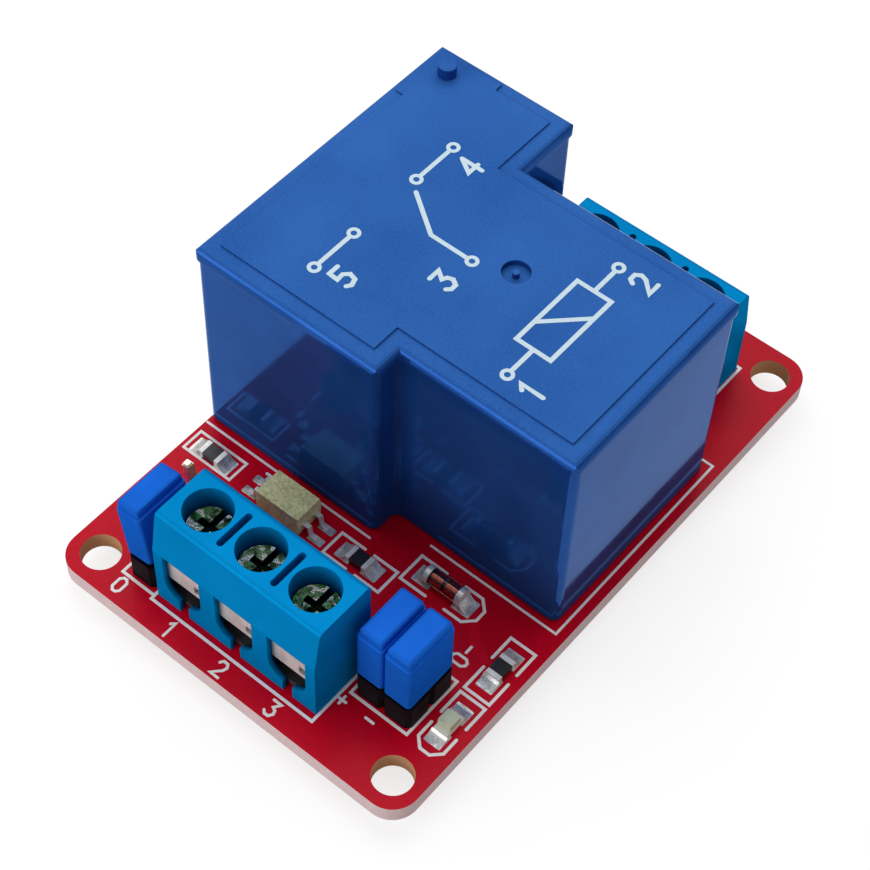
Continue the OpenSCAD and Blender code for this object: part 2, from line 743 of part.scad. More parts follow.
// A contact frame: floor under the wire, upright back with the tail, threaded top.
module contact(i) {
    nut_y = flap_y + press_t + 0.15;
    translate([pole_x(i), 0, 0]) difference() {
        union() {
            translate([-frame_w / 2, flap_y, floor_z]) cube([frame_w, leg_y1 - flap_y, frame_t]);
            translate([-frame_w / 2, leg_y0, floor_z]) cube([frame_w, frame_t, nut_z1 - floor_z]);
            translate([-frame_w / 2, nut_y, nut_z0]) cube([frame_w, leg_y1 - nut_y, frame_nut]);
            translate([0, leg_mid, 0]) post(tail_pin_w, frame_t, tail_z, floor_z + 0.1);
        }
        translate([0, screw_y, nut_z0 - 1]) cylinder(h = frame_nut + 2, r = screw_d / 2 + slack);
    }
}

module input_housing() color("deepskyblue") at_input() housing();
module output_housing() color("deepskyblue") at_output() housing();

// ------------------------------------------------- headers and jumper caps

// One pin's share of a header's plastic, with bevelled corners. It overlaps the next.
module header_cell() {
    a = pin_pitch / 2 + tip;
    c = 0.35 + tip;
    linear_extrude(header_h)
        polygon([[-a + c, -a], [a - c, -a], [a, -a + c], [a, a - c],
                 [a - c, a], [-a + c, a], [-a, a - c], [-a, -a + c]]);
}

module header(tails_of) {
    color("black") translate([0, 0, board_t]) difference() {
        for (t = tails_of) translate([t[0], t[1], 0]) header_cell();
        for (t = tails_of) translate([t[0], t[1], 0]) post(pin_side, pin_side, -1, header_h + 1);
    }
}

// Upper part of a header pin with a small bevel at its tip.
module pin_top(h) {
    bevel = 0.15;
    post(pin_side, pin_side, 0, h - bevel);
    post(pin_side - bevel, pin_side - bevel, h - bevel, h);
}

module straight_pins(tails_of) {
    color("gold") for (t = tails_of) on_board(t) {
        post(pin_side, pin_side, tail_z, header_h);
        translate([0, 0, header_h]) pin_top(pin_up);
    }
}

// Frame of the leaning pins: the origin is at the bend of the first pin.
module at_trigger() {
    translate([trigger_x, trigger_pin_y, board_t + knee_z]) rotate([0, -trigger_lean, 0])
        children();
}

module trigger_pins() {
    color("gold") {
        for (t = trigger_tails) on_board(t) post(pin_side, pin_side, tail_z, knee_z);
        at_trigger() for (i = [0:2]) translate([0, i * pin_pitch, 0])
            pin_top(pin_up + header_h - knee_z);
    }
}

// A jumper cap over two pins that stand pin_pitch apart along Y.
module cap() {
    function ring(inset, z) = [fillet(rect(cap_w - 2 * inset, cap_l - 2 * inset), 0.3 - inset / 2), z];
    body_h = cap_h - grip_h;
    round = 0.25;
    top_in = grip_in + round;
    difference() {
        skin([
            ring(0.05, 0), ring(0, 0.05), ring(0, body_h - 0.06), ring(0.06, body_h),
            ring(grip_in, body_h + tip), ring(grip_in, cap_h - round),
            ring(grip_in + round * 0.3, cap_h - round * 0.3), ring(top_in, cap_h)]);
        post(2 * clip_out + tip, 2 * (clip_y + clip_t) + tip, -1, pin_up + 0.15);
    }
}

// The spring clip in a cap: a hairpin that grips both pins.
module clip() {
    y0 = -clip_y;
    translate([0, 0, 0.6]) linear_extrude(clip_h) difference() {
        translate([-clip_out, y0]) square([2 * clip_out, 2 * clip_y + clip_t]);
        translate([-clip_in, y0 - 1]) square([2 * clip_in, 2 * clip_y + 1]);
    }
}

module at_trigger_cap() {
    at_trigger() translate([0, pin_pitch / 2, cap_gap + header_h - knee_z + 0.15]) children();
}

// Cap 1 is on the left column of the supply header and cap 2 on the right.
module at_supply_cap(k) {
    translate([supply_x + (k - 1.5) * pin_pitch, supply_pin_y + pin_pitch / 2,
               board_t + header_h + cap_gap]) children();
}

// ------------------------------------------------------------ small parts

// Turns a part that lies along X so that it lies along Y.
module upright() {
    rotate([0, 0, 90]) children();
}

module chip_body() {
    post(chip_l - 2 * chip_end, chip_w, foot_t, foot_t + chip_h);
}

module chip_ends() {
    for (s = [-1, 1]) translate([s * (chip_l - chip_end) / 2, 0, 0])
        post(chip_end, chip_w, foot_t - tip, foot_t + chip_h + tip);
}

// Solder under and against one end of a part whose end face is at x.
module fillet_solder(x, w, h, l = fillet_l) {
    translate([0, w / 2 + 0.1, 0]) rotate([90, 0, 0]) linear_extrude(w + 0.2)
        polygon([[x - chip_end, 0], [x + l, 0], [x + l * 0.6, h / 4], [x + l / 4, h * 0.6], [x, h],
                 [x, foot_t - tip], [x - chip_end, foot_t - tip]]);
}

module both_ends(x, w, h, l = fillet_l) {
    fillet_solder(x, w, h, l);
    rotate([0, 0, 180]) fillet_solder(x, w, h, l);
}

module gull_leg(x0, x1, z_exit) {
    translate([0, lead_w / 2, 0]) rotate([90, 0, 0]) linear_extrude(lead_w)
        polygon([
            [x0, z_exit], [x0, z_exit - lead_t], [(x0 * 2 + x1) / 3, z_exit - lead_t],
            [(x0 + x1) / 2 - lead_t / 2, foot_t - tip], [x1, foot_t - tip],
            [x1, foot_t - tip + lead_t], [(x0 + x1) / 2 + lead_t / 2, foot_t - tip + lead_t],
            [(x0 * 2 + x1) / 3 + lead_t, z_exit]]);
}

// A moulded body that narrows from its parting line to its top and bottom.
module moulded(w, l, h) {
    draft = 0.12;
    mid = h * 0.5;
    translate([0, l / 2, foot_t]) rotate([90, 0, 0]) linear_extrude(l)
        polygon([[-w / 2 + draft, 0], [w / 2 - draft, 0], [w / 2, mid],
                 [w / 2 - draft, h], [-w / 2 + draft, h], [-w / 2, mid]]);
}

module optocoupler() {
    color("tan") on_board(opto_at) moulded(opto_w, opto_l, opto_h);
}

module optocoupler_leads() {
    z = foot_t + opto_h / 2 + lead_t / 2;
    color("silver") on_board(opto_at) for (turn = [0, 180], s = [-1, 1])
        rotate([0, 0, turn]) translate([0, s * opto_pitch / 2, 0])
            gull_leg(opto_w / 2, opto_w / 2 + opto_leg, z);
}

module diode() {
    color("indianred", 0.6) on_board(diode_at)
        translate([-diode_l / 2 + diode_end, 0, foot_t + diode_d / 2]) rotate([0, 90, 0])
            cylinder(h = diode_l - 2 * diode_end, d = diode_d - 0.1);
}

module diode_ends() {
    color("silver") on_board(diode_at) for (s = [-1, 1])
        translate([s * (diode_l - diode_end) / 2, 0, foot_t + diode_d / 2])
            rotate([0, 90, 0]) translate([0, 0, -diode_end / 2])
                cylinder(h = diode_end, d = diode_d);
}

module light_carrier() {
    color("white") on_board(light_at) upright() post(chip_l, chip_w, foot_t, foot_t + led_base);
}

module light_lens() {
    lens = chip_l - 2 * chip_end + 0.1;
    color("honeydew") on_board(light_at) upright()
        translate([0, (chip_w - 0.1) / 2, foot_t + led_base]) rotate([90, 0, 0])
            linear_extrude(chip_w - 0.1)
                polygon([[-lens / 2, 0], [lens / 2, 0], [lens / 2 - 0.1, led_lens],
                         [0.1 - lens / 2, led_lens]]);
}

module transistor() {
    color("dimgray") on_board(transistor_at) upright() moulded(sot_w, sot_l, sot_h);
}

module transistor_leads() {
    z = foot_t + sot_h / 2 + lead_t / 2;
    color("silver") on_board(transistor_at) upright() {
        for (s = [-1, 1]) translate([0, s * sot_pitch, 0]) gull_leg(sot_w / 2, sot_w / 2 + sot_leg, z);
        rotate([0, 0, 180]) gull_leg(sot_w / 2, sot_w / 2 + sot_leg, z);
    }
}

module small_part_solder() {
    end = chip_l / 2;
    leg_end = opto_w / 2 + opto_leg;
    sot_end = sot_w / 2 + sot_leg;
    color("lightgray") {
        on_board(resistor_1_at) both_ends(end, chip_w, chip_h);
        on_board(resistor_2_at) both_ends(end, chip_w, chip_h);
        on_board(resistor_3_at) upright() both_ends(end, chip_w, chip_h);
        on_board(light_at) upright() both_ends(end, chip_w, led_base);
        on_board(diode_at) both_ends(diode_l / 2, diode_d - 0.3, diode_d / 2);
        on_board(opto_at) for (s = [-1, 1]) translate([0, s * opto_pitch / 2, 0])
            both_ends(leg_end, lead_w, lead_t, fillet_l / 3);
        on_board(transistor_at) upright() {
            for (s = [-1, 1]) translate([0, s * sot_pitch, 0])
                fillet_solder(sot_end, lead_w, lead_t, fillet_l / 3);
            rotate([0, 0, 180]) fillet_solder(sot_end, lead_w, lead_t, fillet_l / 3);
        }
    }
}

// ------------------------------------------------------------------ nodes

pcb();
relay_cover();
relay_base();
coil_bobbin();
coil_winding();
coil_core();
yoke();
armature();
contact_spring();
no_terminal();
nc_terminal();
common_terminal();
coil_pins();
input_housing();
color("silver") at_input() press(1);  // input_clamp_1
color("silver") at_input() press(2);  // input_clamp_2
color("silver") at_input() press(3);  // input_clamp_3
color("gainsboro") at_input() screw(1);  // input_screw_1
color("gainsboro") at_input() screw(2);  // input_screw_2
color("gainsboro") at_input() screw(3);  // input_screw_3
color("silver") at_input() contact(1);  // input_contact_1
color("silver") at_input() contact(2);  // input_contact_2
color("silver") at_input() contact(3);  // input_contact_3
output_housing();
color("silver") at_output() press(1);  // output_clamp_1
color("silver") at_output() press(2);  // output_clamp_2
color("silver") at_output() press(3);  // output_clamp_3
color("gainsboro") at_output() screw(1);  // output_screw_1
color("gainsboro") at_output() screw(2);  // output_screw_2
color("gainsboro") at_output() screw(3);  // output_screw_3
color("silver") at_output() contact(1);  // output_contact_1
color("silver") at_output() contact(2);  // output_contact_2
color("silver") at_output() contact(3);  // output_contact_3
header(trigger_tails);  // trigger_header
trigger_pins();
color("mediumblue") at_trigger_cap() cap();  // trigger_jumper
color("gold") at_trigger_cap() clip();  // trigger_jumper_clip
header(supply_tails);  // supply_header
straight_pins(supply_tails);  // supply_pins
color("mediumblue") at_supply_cap(1) cap();  // supply_jumper_1
color("gold") at_supply_cap(1) clip();  // supply_jumper_1_clip
color("mediumblue") at_supply_cap(2) cap();  // supply_jumper_2
color("gold") at_supply_cap(2) clip();  // supply_jumper_2_clip
optocoupler();
optocoupler_leads();
color("black") on_board(resistor_1_at) chip_body();  // resistor_1
color("silver") on_board(resistor_1_at) chip_ends();  // resistor_1_ends
color("black") on_board(resistor_2_at) chip_body();  // resistor_2
color("silver") on_board(resistor_2_at) chip_ends();  // resistor_2_ends
color("black") on_board(resistor_3_at) upright() chip_body();  // resistor_3
color("silver")  // resistor_3_ends
    on_board(resistor_3_at) upright() chip_ends();
diode();
diode_ends();
light_carrier();
light_lens();
transistor();
transistor_leads();
small_part_solder();
tail_solder();
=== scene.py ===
"""Dresses the relay module board: materials, printing, pads, tracks, stage, lamps and camera.

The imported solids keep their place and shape, and only get materials. What is added is thin: ink,
copper, solder, and what shows through the diode and the light. Lengths are in millimetres, and
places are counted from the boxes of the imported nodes; Build.piece() turns them into metres.
"""
import json
import math

import bmesh
import bpy
from mathutils import Matrix, Vector


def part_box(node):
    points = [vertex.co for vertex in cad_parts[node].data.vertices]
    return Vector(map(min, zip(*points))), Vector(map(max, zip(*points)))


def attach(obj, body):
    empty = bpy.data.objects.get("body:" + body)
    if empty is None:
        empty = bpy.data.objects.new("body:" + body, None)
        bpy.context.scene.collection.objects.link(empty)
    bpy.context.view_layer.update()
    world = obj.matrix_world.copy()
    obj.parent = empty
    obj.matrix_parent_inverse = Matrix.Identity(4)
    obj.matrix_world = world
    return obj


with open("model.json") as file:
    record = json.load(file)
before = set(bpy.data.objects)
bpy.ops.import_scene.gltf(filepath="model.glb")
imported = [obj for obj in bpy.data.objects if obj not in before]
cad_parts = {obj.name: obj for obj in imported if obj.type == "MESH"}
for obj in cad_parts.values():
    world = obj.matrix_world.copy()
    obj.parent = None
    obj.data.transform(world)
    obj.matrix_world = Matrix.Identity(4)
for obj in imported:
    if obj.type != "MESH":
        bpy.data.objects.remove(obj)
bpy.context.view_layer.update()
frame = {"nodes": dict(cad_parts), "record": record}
MM = 0.001


# -------------------------------------------------------------------- places

def box(node):
    """A node's lowest and highest corners."""
    lo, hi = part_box(node)
    return Vector(lo) / MM, Vector(hi) / MM


def mid(node):
    """The middle of a node's box."""
    lo, hi = box(node)
    return (lo + hi) / 2


def points(node):
    """A node's vertices."""
    return [v.co / MM for v in frame["nodes"][node].data.vertices]


PCB_LO, PCB_HI = box("pcb")
TOP = PCB_HI.z
COVER_LO, COVER_HI = box("relay_cover")
IN_LO, IN_HI = box("input_housing")
OUT_LO, OUT_HI = box("output_housing")
TRIG_LO, TRIG_HI = box("trigger_header")
SUPPLY_LO, SUPPLY_HI = box("supply_header")
HOLES = next(q for q in frame["record"]["mounts"] if q["name"] == "mounting_holes")["dims"]
HOLE_X, HOLE_Y = HOLES["spacing_x_mm"] / 2, HOLES["spacing_y_mm"] / 2
HOLE_R = HOLES["hole_r_mm"]


# ----------------------------------------------------------------- materials

def srgb(r, g, b):
    """Linear colour of an 8-bit display colour."""
    def linear(v):
        v /= 255
        return v / 12.92 if v <= 0.04045 else ((v + 0.055) / 1.055) ** 2.4
    return (linear(r), linear(g), linear(b), 1.0)


def scaled(colour, share, lift=0.0):
    """A colour times share, raised by lift and kept within range."""
    return tuple(min(1.0, c * share + lift) for c in colour[:3]) + (1.0,)


class Mat:
    """A small builder for node materials.

    Textures read the object's own coordinates in millimetres, so a noise of scale 2 has features
    of about half a millimetre. A value is a number, a colour or the output of another node.
    """

    def __init__(self, name):
        self.material = bpy.data.materials.new(name)
        self.material.use_nodes = True
        self.tree = self.material.node_tree
        self.tree.nodes.clear()
        self.output = self.add("ShaderNodeOutputMaterial")
        self.shader = self.add("ShaderNodeBsdfPrincipled")
        self.link(self.shader.outputs[0], self.output.inputs[0])
        place = self.add("ShaderNodeTexCoord").outputs["Object"]
        self.mm = self.add("ShaderNodeVectorMath", {"operation": "SCALE"},
                           {0: place, "Scale": 1 / MM}).outputs["Vector"]

    def link(self, value, socket):
        self.tree.links.new(value, socket)

    def put(self, socket, value):
        """Links the output of a node to a socket, or sets the socket to a plain value."""
        if hasattr(value, "links"):
            self.link(value, socket)
        else:
            socket.default_value = value

    def set(self, **values):
        """Sets the shader's sockets by name, with _ for a space."""
        for key, value in values.items():
            self.put(self.shader.inputs[key.replace("_", " ")], value)

    def add(self, kind, props=None, ins=None):
        """A new node with the given properties and inputs."""
        n = self.tree.nodes.new(kind)
        for key, value in (props or {}).items():
            setattr(n, key, value)
        for key, value in (ins or {}).items():
            self.put(n.inputs[key], value)
        return n

    def vec(self, op, *values):
        """Vector arithmetic; LENGTH gives a number, and the rest a vector."""
        n = self.add("ShaderNodeVectorMath", {"operation": op}, dict(enumerate(values)))
        return n.outputs["Value" if op == "LENGTH" else "Vector"]

    def math(self, op, *values):
        """Arithmetic on numbers."""
        return self.add("ShaderNodeMath", {"operation": op}, dict(enumerate(values))).outputs[0]

    def plus(self, a, b):
        return self.math("ADD", a, b)

    def minus(self, a, b):
        return self.math("SUBTRACT", a, b)

    def times(self, a, b):
        return self.math("MULTIPLY", a, b)

    def absolute(self, a):
        return self.math("ABSOLUTE", a)

    def wave(self, a, per_mm):
        """A sine of a, in radians a millimetre."""
        return self.math("SINE", self.times(a, per_mm))

    def noise(self, scale, detail, rough, stretch=None):
        """Noise from 0 to 1, finer with scale; stretch multiplies the coordinates by axis."""
        at = self.vec("MULTIPLY", self.mm, stretch) if stretch else self.mm
        ins = {"Vector": at, "Scale": scale, "Detail": detail, "Roughness": rough}
        return self.add("ShaderNodeTexNoise", None, ins).outputs[0]

    def ramp(self, fac, lo, hi, a=0.0, b=1.0):
        """Maps lo..hi to a..b, held at both ends."""
        ins = {0: fac, 1: lo, 2: hi, 3: a, 4: b}
        return self.add("ShaderNodeMapRange", {"clamp": True}, ins).outputs[0]

    def mix(self, fac, a, b):
        """Colour a where fac is 0, and b where it is 1."""
        ins = {0: fac, 6: a, 7: b}
        return self.add("ShaderNodeMix", {"data_type": "RGBA"}, ins).outputs[2]

    def xyz(self, vector=None):
        """The three parts of a vector, or of the place on the object."""
        return self.add("ShaderNodeSeparateXYZ", None, {0: vector or self.mm}).outputs

    def normal_z(self):
        """How far the surface faces up: 1 on a flat top, 0 on a wall."""
        return self.xyz(self.add("ShaderNodeNewGeometry").outputs["Normal"])[2]

    def bump(self, height, strength, distance, radius=0.0):
        """Bump of height over distance, on edges softened by radius."""
        ins = {"Strength": strength, "Distance": distance * MM, "Height": height}
        n = self.add("ShaderNodeBump", None, ins)
        if radius:
            bevel = self.add("ShaderNodeBevel", {"samples": 4}, {"Radius": radius * MM})
            self.link(bevel.outputs[0], n.inputs["Normal"])
        self.link(n.outputs[0], self.shader.inputs["Normal"])


def plastic(name, colour, rough, grain=6.0, depth=0.012, spotted=0.2, dark=0.8,
            specular=0.5, tint=None):
    """Moulded plastic: fine eroded grain, slight flow shading and soft edges.

    grain and depth are the scale and height of the grain, spotted is how far pale spots show, and
    dark is the depth of the flow shading. With a tint, the gloss takes that colour, as on a
    deep-dyed part.
    """
    m = Mat(name)
    flow = m.noise(0.22, 3, 0.55)
    grains = m.noise(grain, 4, 0.6)
    spots = m.ramp(m.noise(1.3, 5, 0.65), 0.56, 0.74)
    base = m.mix(m.ramp(flow, 0.35, 0.65), colour, scaled(colour, dark))
    base = m.mix(m.times(spots, spotted), base, scaled(colour, 1.12, 0.012))
    worn = m.plus(m.times(grains, 0.6), m.times(spots, 0.4))
    m.set(Base_Color=base, Roughness=m.ramp(worn, 0.25, 0.75, rough - 0.05, rough + 0.08), IOR=1.5)
    if tint:
        m.set(Metallic=0.22, Specular_Tint=tint, Specular_IOR_Level=0.0)
    else:
        m.set(Specular_IOR_Level=specular)
    m.bump(grains, strength=0.35, distance=depth, radius=0.08)
    return m


def metal(name, colour, rough, scratch=(1, 1, 1), tarnish=None, depth=0.01, metallic=1.0):
    """Sheet or wire metal with drawn scratches and a little tarnish.

    scratch stretches the scratches by axis: they run along the axis with the small value.
    """
    m = Mat(name)
    drawn = m.noise(9.0, 4, 0.6, stretch=scratch)
    cloud = m.noise(0.9, 4, 0.6)
    base = m.mix(m.ramp(cloud, 0.42, 0.72), colour, tarnish or scaled(colour, 0.62))
    base = m.mix(m.ramp(drawn, 0.45, 0.75, 0.0, 0.35), base, scaled(colour, 0.5))
    m.set(Base_Color=base, Metallic=metallic)
    m.set(Roughness=m.ramp(drawn, 0.3, 0.7, rough - 0.07, rough + 0.12))
    m.bump(drawn, strength=0.4, distance=depth, radius=0.03)
    return m


def cut_laminate(m):
    """Colour of the board's cut faces: pale layers of glass cloth, and tan in the bolt holes."""
    layers = m.add("ShaderNodeTexWave", {"bands_direction": "Z"},
                   {"Vector": m.mm, "Scale": 2.2, "Distortion": 1.2, "Detail": 3.0,
                    "Detail Scale": 3.0}).outputs["Fac"]
    cut = m.mix(m.ramp(layers, 0.2, 0.8), srgb(246, 220, 220), srgb(236, 200, 204))
    cut = m.mix(m.ramp(m.noise(2.5, 5, 0.7), 0.45, 0.7, 0.0, 0.5), cut, srgb(252, 238, 236))
    from_bolt = m.vec("SUBTRACT", m.vec("ABSOLUTE", m.mm), (HOLE_X, HOLE_Y, 0.0))
    from_bolt = m.vec("LENGTH", m.vec("MULTIPLY", from_bolt, (1.0, 1.0, 0.0)))
    in_hole = m.ramp(from_bolt, HOLE_R + 0.3, HOLE_R + 0.4, 1.0, 0.0)
    return m.mix(in_hole, cut, srgb(214, 164, 122))


def solder_mask(name, over_copper):
    """Red solder mask over copper tracks, or over the laminate, whose cut faces stay bare."""
    m = Mat(name)
    cloud = m.noise(0.12, 3, 0.5)
    grain = m.noise(5.0, 4, 0.6)
    base = m.mix(m.ramp(cloud, 0.35, 0.65), srgb(214, 2, 38), srgb(196, 0, 32))
    if over_copper:
        base = m.mix(0.4, base, srgb(226, 14, 44))
    x, y, _ = m.xyz()
    weave = m.times(m.wave(x, 5.2), m.wave(y, 5.2))
    base = m.mix(m.ramp(weave, -0.6, 0.9, 0.0, 0.10), base, srgb(150, 0, 20))
    cells = m.add("ShaderNodeTexVoronoi", None, {"Vector": m.mm, "Scale": 1.6}).outputs[0]
    specks = m.ramp(cells, 0.0, 0.05, 1.0, 0.0)
    base = m.mix(m.times(specks, 0.3), base, srgb(235, 120, 130))
    rough = m.ramp(grain, 0.3, 0.7, 0.24, 0.36)
    if not over_copper:
        flat = m.ramp(m.absolute(m.normal_z()), 0.6, 0.8)
        base = m.mix(flat, cut_laminate(m), base)
        rough = m.plus(m.times(flat, m.minus(rough, 0.8)), 0.8)
    m.set(Base_Color=base, Roughness=rough, Specular_IOR_Level=0.1)
    m.bump(m.plus(grain, m.times(weave, 0.3)), strength=0.2, distance=0.02)
    return m


def solder_metal():
    """Solder as it set: lumpy, with a frosted skin."""
    m = Mat("solder")
    lumps = m.noise(1.6, 3, 0.5)
    frost = m.noise(14.0, 4, 0.65)
    base = m.mix(m.ramp(lumps, 0.4, 0.7), srgb(232, 232, 228), srgb(176, 176, 174))
    m.set(Base_Color=base, Metallic=0.55, Roughness=m.ramp(frost, 0.35, 0.7, 0.22, 0.42))
    height = m.plus(m.times(lumps, 2.0), m.times(frost, 0.15))
    m.bump(height, strength=0.5, distance=0.06, radius=0.03)
    return m


def screw_metal(name, centre, head_top):
    """Zinc-plated screw: rings turned about its own axis, a green tint, painted glints and painted
    shade in its recess.
    """
    m = Mat(name)
    from_axis = m.vec("SUBTRACT", m.mm, (centre.x, centre.y, 0.0))
    from_axis = m.vec("MULTIPLY", from_axis, (1.0, 1.0, 0.0))
    rings = m.add("ShaderNodeTexWave", {"wave_type": "RINGS", "rings_direction": "SPHERICAL"},
                  {"Vector": from_axis, "Scale": 2.6, "Distortion": 0.8,
                   "Detail": 2.0}).outputs["Fac"]
    cloud = m.noise(0.9, 4, 0.6)
    base = m.mix(m.ramp(cloud, 0.35, 0.65), srgb(150, 182, 140), srgb(70, 140, 74))
    base = m.mix(m.ramp(m.noise(1.5, 3, 0.6), 0.48, 0.60, 0.0, 0.85), base, srgb(18, 52, 26))
    # Painted highlight: near-white glint spots in the colour of the screw head.
    painted_glint = m.ramp(m.noise(1.7, 1, 0.4), 0.52, 0.57)
    base = m.mix(painted_glint, base, srgb(250, 252, 240))
    # Painted shade: the cross recess darkens towards its bottom.
    recess_painted_shade = m.ramp(m.xyz()[2], head_top - 0.45, head_top - 0.08, 1.0, 0.0)
    base = m.mix(recess_painted_shade, base, srgb(24, 40, 28))
    m.set(Base_Color=base, Metallic=1.0)
    m.set(Roughness=m.ramp(m.noise(6.0, 3, 0.6), 0.3, 0.7, 0.18, 0.38))
    height = m.plus(rings, m.times(m.noise(2.4, 3, 0.6), 3.0))
    m.bump(height, strength=0.8, distance=0.05, radius=0.06)
    return m


def block_plastic():
    """Satin plastic of the terminal blocks, with painted shade in the depth of their wells and
    ports.
    """
    m = plastic("block_plastic", srgb(5, 138, 205), 0.40, grain=7.0, dark=0.9,
                tint=(0.10, 0.75, 1.0, 1.0))
    base = m.shader.inputs["Base Color"].links[0].from_socket
    x, y, z = m.xyz()
    # The painted shade begins behind the face, which leans back towards its top.
    lean = m.ramp(z, IN_HI.z - 4.2, IN_HI.z, 0.12, 0.85)
    inside = []
    for lo, hi, face in ((IN_LO, IN_HI, IN_LO.y), (OUT_LO, OUT_HI, OUT_HI.y)):
        half, depth = (hi.x - lo.x) / 2, hi.y - lo.y - 1.0
        from_mid = m.absolute(m.minus(x, (lo.x + hi.x) / 2))
        from_face = m.minus(m.absolute(m.minus(y, face)), lean)
        between_ends = m.ramp(from_mid, half - 0.4, half - 0.3, 1.0, 0.0)
        behind_face = m.ramp(from_face, 0.0, 0.25)
        before_back = m.ramp(from_face, depth, depth + 0.2, 1.0, 0.0)
        inside.append(m.times(between_ends, m.times(behind_face, before_back)))
    # Painted shade: the blue turns to a darker srgb(2, 52, 104) deep in the wells and ports.
    deep = m.ramp(z, IN_HI.z - 2.2, IN_HI.z - 0.1, 1.0, 0.0)
    shade = m.times(m.times(m.math("MAXIMUM", *inside), deep), 0.8)
    m.set(Base_Color=m.mix(shade, base, srgb(2, 52, 104)))
    return m


def relay_plastic():
    """The relay's cover: grained on top, and polished on its walls, which mirror what is near and
    have a darker blue as painted shade.
    """
    m = Mat("relay_shell")
    up = m.ramp(m.normal_z(), 0.7, 0.95)
    grain = m.noise(5.0, 4, 0.65)
    flow = m.noise(0.10, 3, 0.55)
    top = m.mix(m.ramp(flow, 0.35, 0.65), srgb(49, 104, 184), srgb(40, 92, 170))
    top = m.mix(m.ramp(grain, 0.42, 0.62, 0.0, 0.22), top, srgb(70, 126, 204))
    clouds = m.ramp(m.noise(0.16, 3, 0.5), 0.35, 0.65)
    # Painted shade: the walls take a darker copy of the top's blue.
    wall = m.mix(clouds, srgb(38, 84, 158), srgb(31, 74, 144))
    smear = m.ramp(m.noise(0.5, 4, 0.6), 0.3, 0.7, 0.06, 0.12)
    rough = m.plus(m.times(up, m.ramp(grain, 0.3, 0.7, 0.24, 0.38)), smear)
    m.set(Base_Color=m.mix(up, wall, top), Metallic=m.ramp(up, 0.0, 1.0, 0.45, 0.0))
    m.set(Roughness=rough, Specular_IOR_Level=0.021, Specular_Tint=(0.6, 0.75, 1.0, 1.0))
    sink = m.noise(0.12, 2, 0.5)
    height = m.plus(m.times(m.times(grain, up), 0.35), m.times(sink, 1.2))
    m.bump(height, strength=0.25, distance=0.05, radius=0.10)
    return m


def speckled(name, ground, fleck, rough):
    """Moulding compound or glaze with a fine mineral fleck."""
    m = Mat(name)
    flecks = m.noise(3.4, 4, 0.75)
    cloud = m.noise(0.8, 3, 0.5)
    base = m.mix(m.ramp(flecks, 0.40, 0.62), ground, fleck)
    base = m.mix(m.ramp(cloud, 0.4, 0.7, 0.0, 0.35), base, scaled(fleck, 0.7))
    m.set(Base_Color=base, Roughness=m.ramp(flecks, 0.3, 0.7, rough - 0.05, rough + 0.1))
    m.bump(flecks, strength=0.4, distance=0.03, radius=0.05)
    return m


WIRE_PITCH = 0.14


def winding_metal():
    """Enamelled copper wire in even turns, with painted shade between them."""
    m = Mat("winding")
    turns = m.absolute(m.wave(m.xyz()[2], math.pi / WIRE_PITCH))
    copper = m.mix(m.ramp(m.noise(1.5, 3, 0.5), 0.4, 0.65), srgb(196, 104, 52), srgb(150, 70, 34))
    # Painted shade: a dark copper where the turns meet.
    m.set(Base_Color=m.mix(m.ramp(turns, 0.0, 0.4), srgb(70, 28, 16), copper), Metallic=0.8)
    m.set(Roughness=m.ramp(m.noise(3.0, 3, 0.6), 0.3, 0.7, 0.22, 0.38))
    m.bump(turns, strength=0.8, distance=0.06)
    return m


def glass(name, colour, rough):
    """Drawn glass, slightly uneven."""
    m = Mat(name)
    haze = m.noise(2.0, 3, 0.5)
    m.set(Base_Color=m.mix(m.ramp(haze, 0.4, 0.7), colour, scaled(colour, 0.92)))
    m.set(Transmission_Weight=1.0, IOR=1.45)
    m.set(Roughness=m.ramp(haze, 0.3, 0.7, rough, rough + 0.05))
    m.bump(haze, strength=0.2, distance=0.02)
    return m


def resin(name, colour, rough):
    """Milky cast resin that lets part of the light through."""
    m = Mat(name)
    haze = m.noise(2.4, 4, 0.6)
    m.set(Base_Color=m.mix(m.ramp(haze, 0.4, 0.7), colour, scaled(colour, 0.86)))
    m.set(Transmission_Weight=0.3, IOR=1.45)
    m.set(Roughness=m.ramp(haze, 0.3, 0.7, rough, rough + 0.1))
    m.bump(haze, strength=0.2, distance=0.02)
    return m


def ink(name, colour):
    """Screen-printed ink, slightly uneven and thin in places."""
    m = Mat(name)
    body = m.noise(3.2, 4, 0.65)
    base = m.mix(m.ramp(body, 0.50, 0.78, 0.0, 0.55), colour, scaled(colour, 0.78))
    m.set(Base_Color=base, Roughness=m.ramp(body, 0.3, 0.7, 0.42, 0.6))
    m.bump(body, strength=0.3, distance=0.02)
    return m


